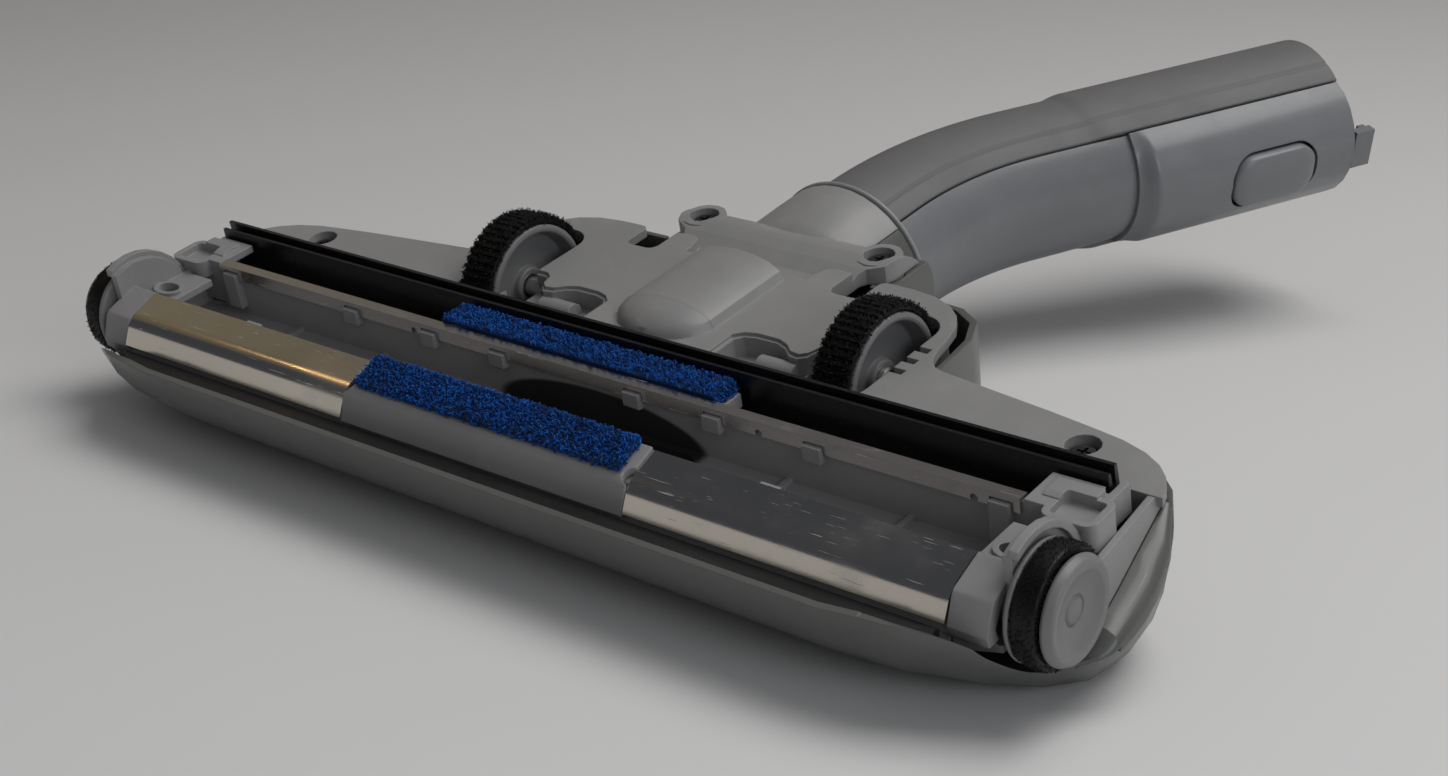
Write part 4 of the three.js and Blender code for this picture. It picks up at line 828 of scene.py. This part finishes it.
class FH_OT_slides(bpy.types.Operator):
    """Bends the two stainless slide plates and the rear strip"""

    bl_idname = "floor_head.slides"
    bl_label = "Steel slides"
    bl_options = {"REGISTER", "UNDO"}

    def execute(self, context):
        bend_radius, sheet, steps = 7.0, 0.6, 14
        top = [(-21.0, 0.15), (-29.8, -2.6), (-32.95, -8.2)]
        under = [(-21.0, -0.45), (-29.5, -3.15), (-32.45, -8.35)]
        outside = soften(top, bend_radius, steps, closed=False)
        inside = soften(under, bend_radius - sheet, steps, closed=False)
        for side, _ in SIDES:
            node = "slide_plate_" + side
            low, high = local_box(node)
            mesh = bar([*outside, *reversed(inside)], low.x, high.x)
            piece("slide_" + side, mesh, HEAD, "floor_head", "slide_steel", (node,), sharp=24)
        dressed("rear_strip", "floor_head", "strip_steel", sharp=40)
        return {"FINISHED"}


class FH_OT_pads(bpy.types.Operator):
    """Weaves the blue velour pads with their loops"""

    bl_idname = "floor_head.pads"
    bl_label = "Velour pads"
    bl_options = {"REGISTER", "UNDO"}

    def execute(self, context):
        velour = context.scene.fh_velour
        for which, seed in (("front", 3), ("rear", 5)):
            node = which + "_lint_pad"
            backing = merged(node)
            bmesh.ops.recalc_face_normals(backing, faces=backing.faces)
            data = grown(data_of("backing", backing), pile_tree(), {
                "Density": velour.loop_density, "Height": velour.loop_height, "Width": velour.loop_width,
                "Thickness": velour.thread, "Bends": 6, "Tilt": 0.55, "Lowest Facing": -0.2, "Seed": seed,
                "Finish": look_of("velour")})
            made = settle(which + "_velour", data, "floor_head", "velour", (node,))
        return {"FINISHED"}


class FH_OT_flap(bpy.types.Operator):
    """Forms the lipped rubber flap behind the trough"""

    bl_idname = "floor_head.flap"
    bl_label = "Rubber flap"
    bl_options = {"REGISTER", "UNDO"}

    def execute(self, context):
        dressed("rubber_flap", "floor_head", "flap_rubber")
        return {"FINISHED"}


def wheel_place(tyre):
    """A wheel's frame at its middle, its radius and half its width, from its tyre's CAD node."""
    low, high = local_box(tyre)
    return HEAD @ Matrix.Translation((low + high) / 2), (high.z - low.z) / 2, (high.x - low.x) / 2


def felted(wheels, base, height, width, thickness, seed):
    """A tyre's base with short bent fibres all over."""
    return grown(base, pile_tree(), {
        "Density": wheels.pile_density, "Height": height, "Width": width, "Thickness": thickness,
        "Bends": 3, "Tilt": 0.7, "Lowest Facing": -2.0, "Seed": seed, "Finish": look_of("tyre_felt")})


class FH_OT_rear_wheels(bpy.types.Operator):
    """Turns the large hubs and grows their ribbed pile tyres"""

    bl_idname = "floor_head.rear_wheels"
    bl_label = "Rear wheels"
    bl_options = {"REGISTER", "UNDO"}

    def execute(self, context):
        for side, sign in SIDES:
            place, outer, half = wheel_place("rear_wheel_tyre_" + side)
            body = "rear_wheel_" + side
            self.hub(side, sign, place, body)
            self.tyre(context.scene.fh_wheels, side, place, body, outer, half)
            dressed("rear_axle_" + side, "floor_head", "axle_steel")
        return {"FINISHED"}

    def hub(self, side, sign, place, body):
        """Rim, thin web and boss, recessed on both sides."""
        bore, boss, recess, rim = 2.8, 4.8, 13.1, 15.6  # radii
        rim_high, web_high, boss_high = 5.15, 0.8, 2.4  # heights from the wheel's middle
        face = [(rim, rim_high - 0.2), (rim - 1.0, rim_high), (recess + 0.7, rim_high - 0.2),
                (recess, web_high), (boss, web_high), (boss - 0.3, boss_high), (bore, boss_high)]
        profile = soften([*[(r, -h) for r, h in reversed(face)], *face], 0.5)
        mesh = lathe([(r, sign * h) for r, h in profile], "X")
        piece("rear_hub_" + side, mesh, place, body, "hub_plastic", ("rear_wheel_hub_" + side,))

    def tyre(self, wheels, side, place, body, outer, half):
        """A band with ribs across it, and pile over both."""
        inner, root, crest = 15.95, outer - 0.75, outer - 0.05
        band = lathe(soften([(inner, -half), (root, -half), (root, half), (inner, half)], 0.3), "X")
        pitch = 2 * math.pi * root / wheels.ribs
        foot, top, sunk, inset = 0.36 * pitch, 0.22 * pitch, 0.3, 0.1
        rib = bar([(-foot, root - sunk), (-top, crest), (top, crest), (foot, root - sunk)],
                  inset - half, half - inset)
        ribs = bmesh.new()
        ribs.from_mesh(grown(plain("rib", rib, Matrix.Identity(4), 40), rib_tree(),
                             {"Ribs": wheels.ribs, "Finish": look_of("tyre_felt")}))
        base = plain("base", joined(band, ribs), place, 40)
        data = felted(wheels, base, wheels.pile, 0.35 * MM, 0.07 * MM, seed=7)
        settle("rear_tyre_" + side, data, body, "tyre_felt", ("rear_wheel_tyre_" + side,))


class FH_OT_front_wheels(bpy.types.Operator):
    """Turns the small flanged hubs and their felt tyres"""

    bl_idname = "floor_head.front_wheels"
    bl_label = "Front wheels"
    bl_options = {"REGISTER", "UNDO"}

    def execute(self, context):
        for side, sign in SIDES:
            place, outer, half = wheel_place("front_wheel_tyre_" + side)
            body = "front_wheel_" + side
            self.hub(side, sign, place, body, half + 0.3)
            self.tyre(context.scene.fh_wheels, side, place, body, outer - 0.3, half)
            dressed("front_axle_" + side, "floor_head", "axle_steel")
        return {"FINISHED"}

    def tyre(self, wheels, side, place, body, outer, half):
        """A felt ring with rounded edges and a short pile."""
        inner = 9.1
        band = lathe(soften([(inner, -half), (outer, -half), (outer, half), (inner, half)], 0.7), "X")
        base = plain("base", band, place, 50)
        data = felted(wheels, base, wheels.pile * 0.5, 0.3 * MM, 0.06 * MM, seed=9)
        settle("front_tyre_" + side, data, body, "tyre_felt", ("front_wheel_tyre_" + side,))

    def hub(self, side, sign, place, body, cap):
        """Flange inside, and outside a dished cap with a raised rim and a small ring round its middle."""
        bore, core, rim, flange = 2.3, 8.8, 10.8, 11.9
        rounded = soften([
            (bore, -cap - 1.3), (flange - 0.6, -cap - 1.3), (flange, -cap - 0.7), (flange, -cap),
            (core, -cap), (core, cap), (rim - 0.4, cap), (rim, cap + 0.8), (rim - 0.9, cap + 2.6),
            (rim - 2.7, cap + 2.4), (rim - 4.4, cap + 1.3)], 1.0, 5, closed=False)
        middle = [(3.2, cap + 1.0), (3.0, cap + 0.65), (2.75, cap + 0.65), (2.55, cap + 1.0),
                  (2.2, cap + 1.2), (0, cap + 1.25), (0, cap + 0.1), (bore, cap + 0.1)]
        mesh = lathe([(r, sign * h) for r, h in [*rounded, *middle]], "X")
        piece("front_hub_" + side, mesh, place, body, "hub_plastic", ("front_wheel_hub_" + side,))


# ------------------------------------------------------------------ tube and latch
TUBE_LEAD = 9.0  # straight stretch between the ring and the bend
TUBE_STRAIGHT = 94.0  # straight stretch past the bend
TUBE_WALL = 2.4
TUBE_START = 0.6  # the halves stand this far clear of the ring
END_EDGE = 0.5  # broken edge at the tube's end
LATCH_LONG = 68.0  # latch cover's length, up to the tube's end
SWELL_FROM, SWELL_TO = 12, 6  # the outer half swells between these distances ahead of the latch's cover
BUTTON_BACK = 27.0  # button's middle, back from the tube's end
SEAM = math.radians(53)  # inner half's edge, each way from the inside of the bend
SEAM_GAP = 0.35
SEAM_EDGE = 0.35  # broken edge along the seam


def tube_spot(tube, distance):
    """Centre and bend direction of the tube's axis at a distance from the ring."""
    radius = tube.bend_radius / MM
    past = distance - TUBE_LEAD
    turn = min(max(past / radius, 0), tube.bend)
    beyond = max(0.0, past - radius * tube.bend)
    x = radius * (1 - math.cos(turn)) + beyond * math.sin(turn)
    y = min(past, 0) + TUBE_LEAD + radius * math.sin(turn) + beyond * math.cos(turn)
    return Vector((x, y, 0)), Vector((math.cos(turn), -math.sin(turn), 0))


def tube_length(tube):
    return TUBE_LEAD + tube.bend_radius / MM * tube.bend + TUBE_STRAIGHT


def swept(tube, section, stations):
    """Lofts (across, up) sections along the tube's axis."""
    rings = []
    for distance in stations:
        centre, across = tube_spot(tube, distance)
        rings.append([centre + across * a + Vector((0, 0, b)) for a, b in section(distance)])
    return loft(rings)


def rounded_box(half_long, half_wide, corner, steps):
    """Outline of a rectangle with round corners."""
    spots = []
    for quarter in range(4):
        side = 1 if quarter in (0, 3) else -1
        rise = 1 if quarter in (0, 1) else -1
        for k in range(steps + 1):
            turn = math.pi / 2 * (quarter + k / steps)
            spots.append((side * (half_long - corner) + corner * math.cos(turn),
                          rise * (half_wide - corner) + corner * math.sin(turn)))
    return spots


def smooth_step(value, low, high):
    t = min(max((value - low) / (high - low), 0), 1)
    return t * t * (3 - 2 * t)


def arc(middle, half, outer, inner, steps):
    """Band between an outer and an inner radius by angle, with broken outer edges at both seams."""
    turns = [middle + half * (2 * k / steps - 1) for k in range(steps + 1)]
    first, last = turns[0], turns[-1]
    skin = [(outer(first) - SEAM_EDGE, first), (outer(first), first + SEAM_EDGE / outer(first)),
            *[(outer(turn), turn) for turn in turns[1:-1]],
            (outer(last), last - SEAM_EDGE / outer(last)), (outer(last) - SEAM_EDGE, last)]
    bore = [(inner, turn) for turn in reversed(turns)]
    return [(radius * math.cos(turn), radius * math.sin(turn)) for radius, turn in skin + bore]


class FH_OT_tube(bpy.types.Operator):
    """Moulds the ring and the two halves of the bent tube"""

    bl_idname = "floor_head.tube"
    bl_label = "Bent tube"
    bl_options = {"REGISTER", "UNDO"}

    def execute(self, context):
        tube = context.scene.fh_tube
        end = tube_length(tube)
        latch = end - LATCH_LONG
        stations = self.stations(tube, latch, end)
        self.outer_half(tube, latch, end, stations)
        self.inner_half(tube, latch, stations)
        self.ring()
        dressed("swivel_tube", "elbow", "frame_plastic")
        dressed("swivel_seal", "elbow", "tyre_felt")
        return {"FINISHED"}

    def stations(self, tube, latch, end):
        """Distances from the ring that get a section, closer together where the form changes."""
        bend_steps, latch_steps = 16, 6
        bend_long = tube.bend_radius / MM * tube.bend
        bends = [TUBE_LEAD + bend_long * k / bend_steps for k in range(bend_steps + 1)]
        swell = [latch - SWELL_FROM + k for k in range(SWELL_FROM - SWELL_TO + 1)]
        straight = [latch + LATCH_LONG * k / latch_steps for k in range(latch_steps)]
        return sorted({TUBE_START, TUBE_START + 0.4, *bends, *swell, *straight, end - END_EDGE, end})

    def outer_half(self, tube, latch, end, stations):
        """Half round the outside of the bend: it swells ahead of the latch and has a crease by its seam."""
        radius = tube.radius / MM
        swell = 0.9
        crease_turn, crease_half, crease_deep = math.radians(110), math.radians(2.4), 0.42
        half = math.pi - SEAM - SEAM_GAP / radius

        def section(distance):
            grown_by = swell * smooth_step(distance, latch - SWELL_FROM, latch - SWELL_TO)
            skin = radius + grown_by - (END_EDGE if distance == end else 0)

            def surface(turn):
                off = abs(abs(turn - math.pi) - crease_turn)
                return skin - crease_deep * max(0.0, 1 - off / crease_half)
            return arc(math.pi, half, surface, radius - TUBE_WALL, 240)

        piece("tube_outer_half", swept(tube, section, stations), ELBOW, "elbow", "elbow_dark_plastic",
              ("elbow_outer_shell",), 40)

    def inner_half(self, tube, latch, stations):
        """Half round the inside of the bend, which sinks under the latch's cover."""
        radius = tube.radius / MM
        sunk = 1.2

        def section(distance):
            skin = radius - sunk * smooth_step(distance, latch - 1, latch + 2)
            return arc(0, SEAM, lambda turn: skin, radius - TUBE_WALL, 36)

        piece("tube_inner_half", swept(tube, section, stations), ELBOW, "elbow", "elbow_cool_plastic",
              ("elbow_inner_shell",), 40)

    def ring(self):
        """Collar ring: a raised band between two grooves."""
        bore, groove, band = 16.9, 20.6, 22.7
        profile = soften([
            (bore, 0.3), (groove, 0.3), (groove, 0.95), (band - 0.4, 0.95), (band, 1.3), (band, 1.8),
            (band - 0.4, 2.15), (groove, 2.15), (groove, RING_THICK), (bore, RING_THICK)], 0.3)
        piece("neck_ring", lathe(profile, "Y", segments=128), HEAD @ Matrix.Translation(COLLAR_END),
              "floor_head", "frame_plastic", ("collar_ring",))


class FH_OT_latch(bpy.types.Operator):
    """Finishes the latch's cover, button, lever, pin and spring"""

    bl_idname = "floor_head.latch"
    bl_label = "Latch"
    bl_options = {"REGISTER", "UNDO"}

    def execute(self, context):
        place = ELBOW @ self.face(context.scene.fh_tube)
        dressed("latch_cover", "elbow", "elbow_cool_plastic", 35, lambda mesh: self.drop_tips(mesh, place))
        self.button(place)
        dressed("latch_lever", "latch", "elbow_cool_plastic")
        dressed("latch_pin", "elbow", "spring_steel")
        dressed("latch_spring", "elbow", "spring_steel")
        return {"FINISHED"}

    def face(self, tube):
        """Frame on the tube's axis under the button: X along the tube, Z out of the latch's face."""
        centre, across = tube_spot(tube, tube_length(tube) - BUTTON_BACK)
        turned = Matrix(((-across.y, 0, across.x), (across.x, 0, across.y), (0, 1, 0)))
        return Matrix.Translation(centre) @ turned.to_4x4()

    def drop_tips(self, mesh, place):
        """Removes the tips of the inner lugs that break through the cover's skin."""
        tip_aside, tip_high, reach = 9.6, 22.8, 0.05
        back = place.inverted()
        tips = []
        for vertex in mesh.verts:
            spot = back @ vertex.co
            if abs(abs(spot.y) - tip_aside) < reach and abs(spot.z - tip_high) < reach:
                tips.append(vertex)
        bmesh.ops.dissolve_verts(mesh, verts=tips)

    def button(self, place):
        """Long pillow with a softly rounded edge."""
        half_long, half_wide, corner, least_corner = 13.0, 7.5, 6.2, 0.4
        rows = (  # height over the tube's axis, and how far the outline draws in
            (22.3, 0), (24.3, 0), (24.8, 0.12), (25.2, 0.42), (25.55, 1.0), (25.83, 1.9), (26.03, 3.0),
            (26.17, 4.3), (26.25, 5.8),
        )
        rings = []
        for height, inset in rows:
            outline = rounded_box(half_long - inset, half_wide - inset, max(corner - inset, least_corner), 8)
            rings.append([Vector((along, aside, height)) for along, aside in outline])
        piece("release_pillow", loft(rings), place, "latch", "elbow_cool_plastic", ("release_button",), 50)


class FH_OT_screws(bpy.types.Operator):
    """Blackens the four cross-head screws"""

    bl_idname = "floor_head.screws"
    bl_label = "Screws"
    bl_options = {"REGISTER", "UNDO"}

    def execute(self, context):
        for kind in ("sole", "neck"):
            for side, _ in SIDES:
                dressed(kind + "_screw_" + side, "floor_head", "screw_steel")
        return {"FINISHED"}


# ------------------------------------------------------------------ add-on
OPERATORS = (FH_OT_stage, FH_OT_mouldings, FH_OT_slides, FH_OT_pads, FH_OT_flap, FH_OT_rear_wheels,
             FH_OT_front_wheels, FH_OT_tube, FH_OT_latch, FH_OT_screws)


class FH_PT_panel(bpy.types.Panel):
    """Lists the operators that make the pieces"""

    bl_label = "Floor head"
    bl_idname = "FH_PT_panel"
    bl_space_type = "VIEW_3D"
    bl_region_type = "UI"
    bl_category = "Floor head"

    def draw(self, context):
        for operator in OPERATORS:
            self.layout.operator(operator.bl_idname)


CLASSES = (*SETTINGS.values(), *OPERATORS, FH_PT_panel)


def register():
    for item in CLASSES:
        bpy.utils.register_class(item)
    for name, group in SETTINGS.items():
        setattr(bpy.types.Scene, name, PointerProperty(type=group))


def unregister():
    for name in SETTINGS:
        delattr(bpy.types.Scene, name)
    for item in reversed(CLASSES):
        bpy.utils.unregister_class(item)


def main():
    register()
    for operator in OPERATORS:
        group, name = operator.bl_idname.split(".")
        getattr(getattr(bpy.ops, group), name)()


if __name__ == "__main__":
    main()
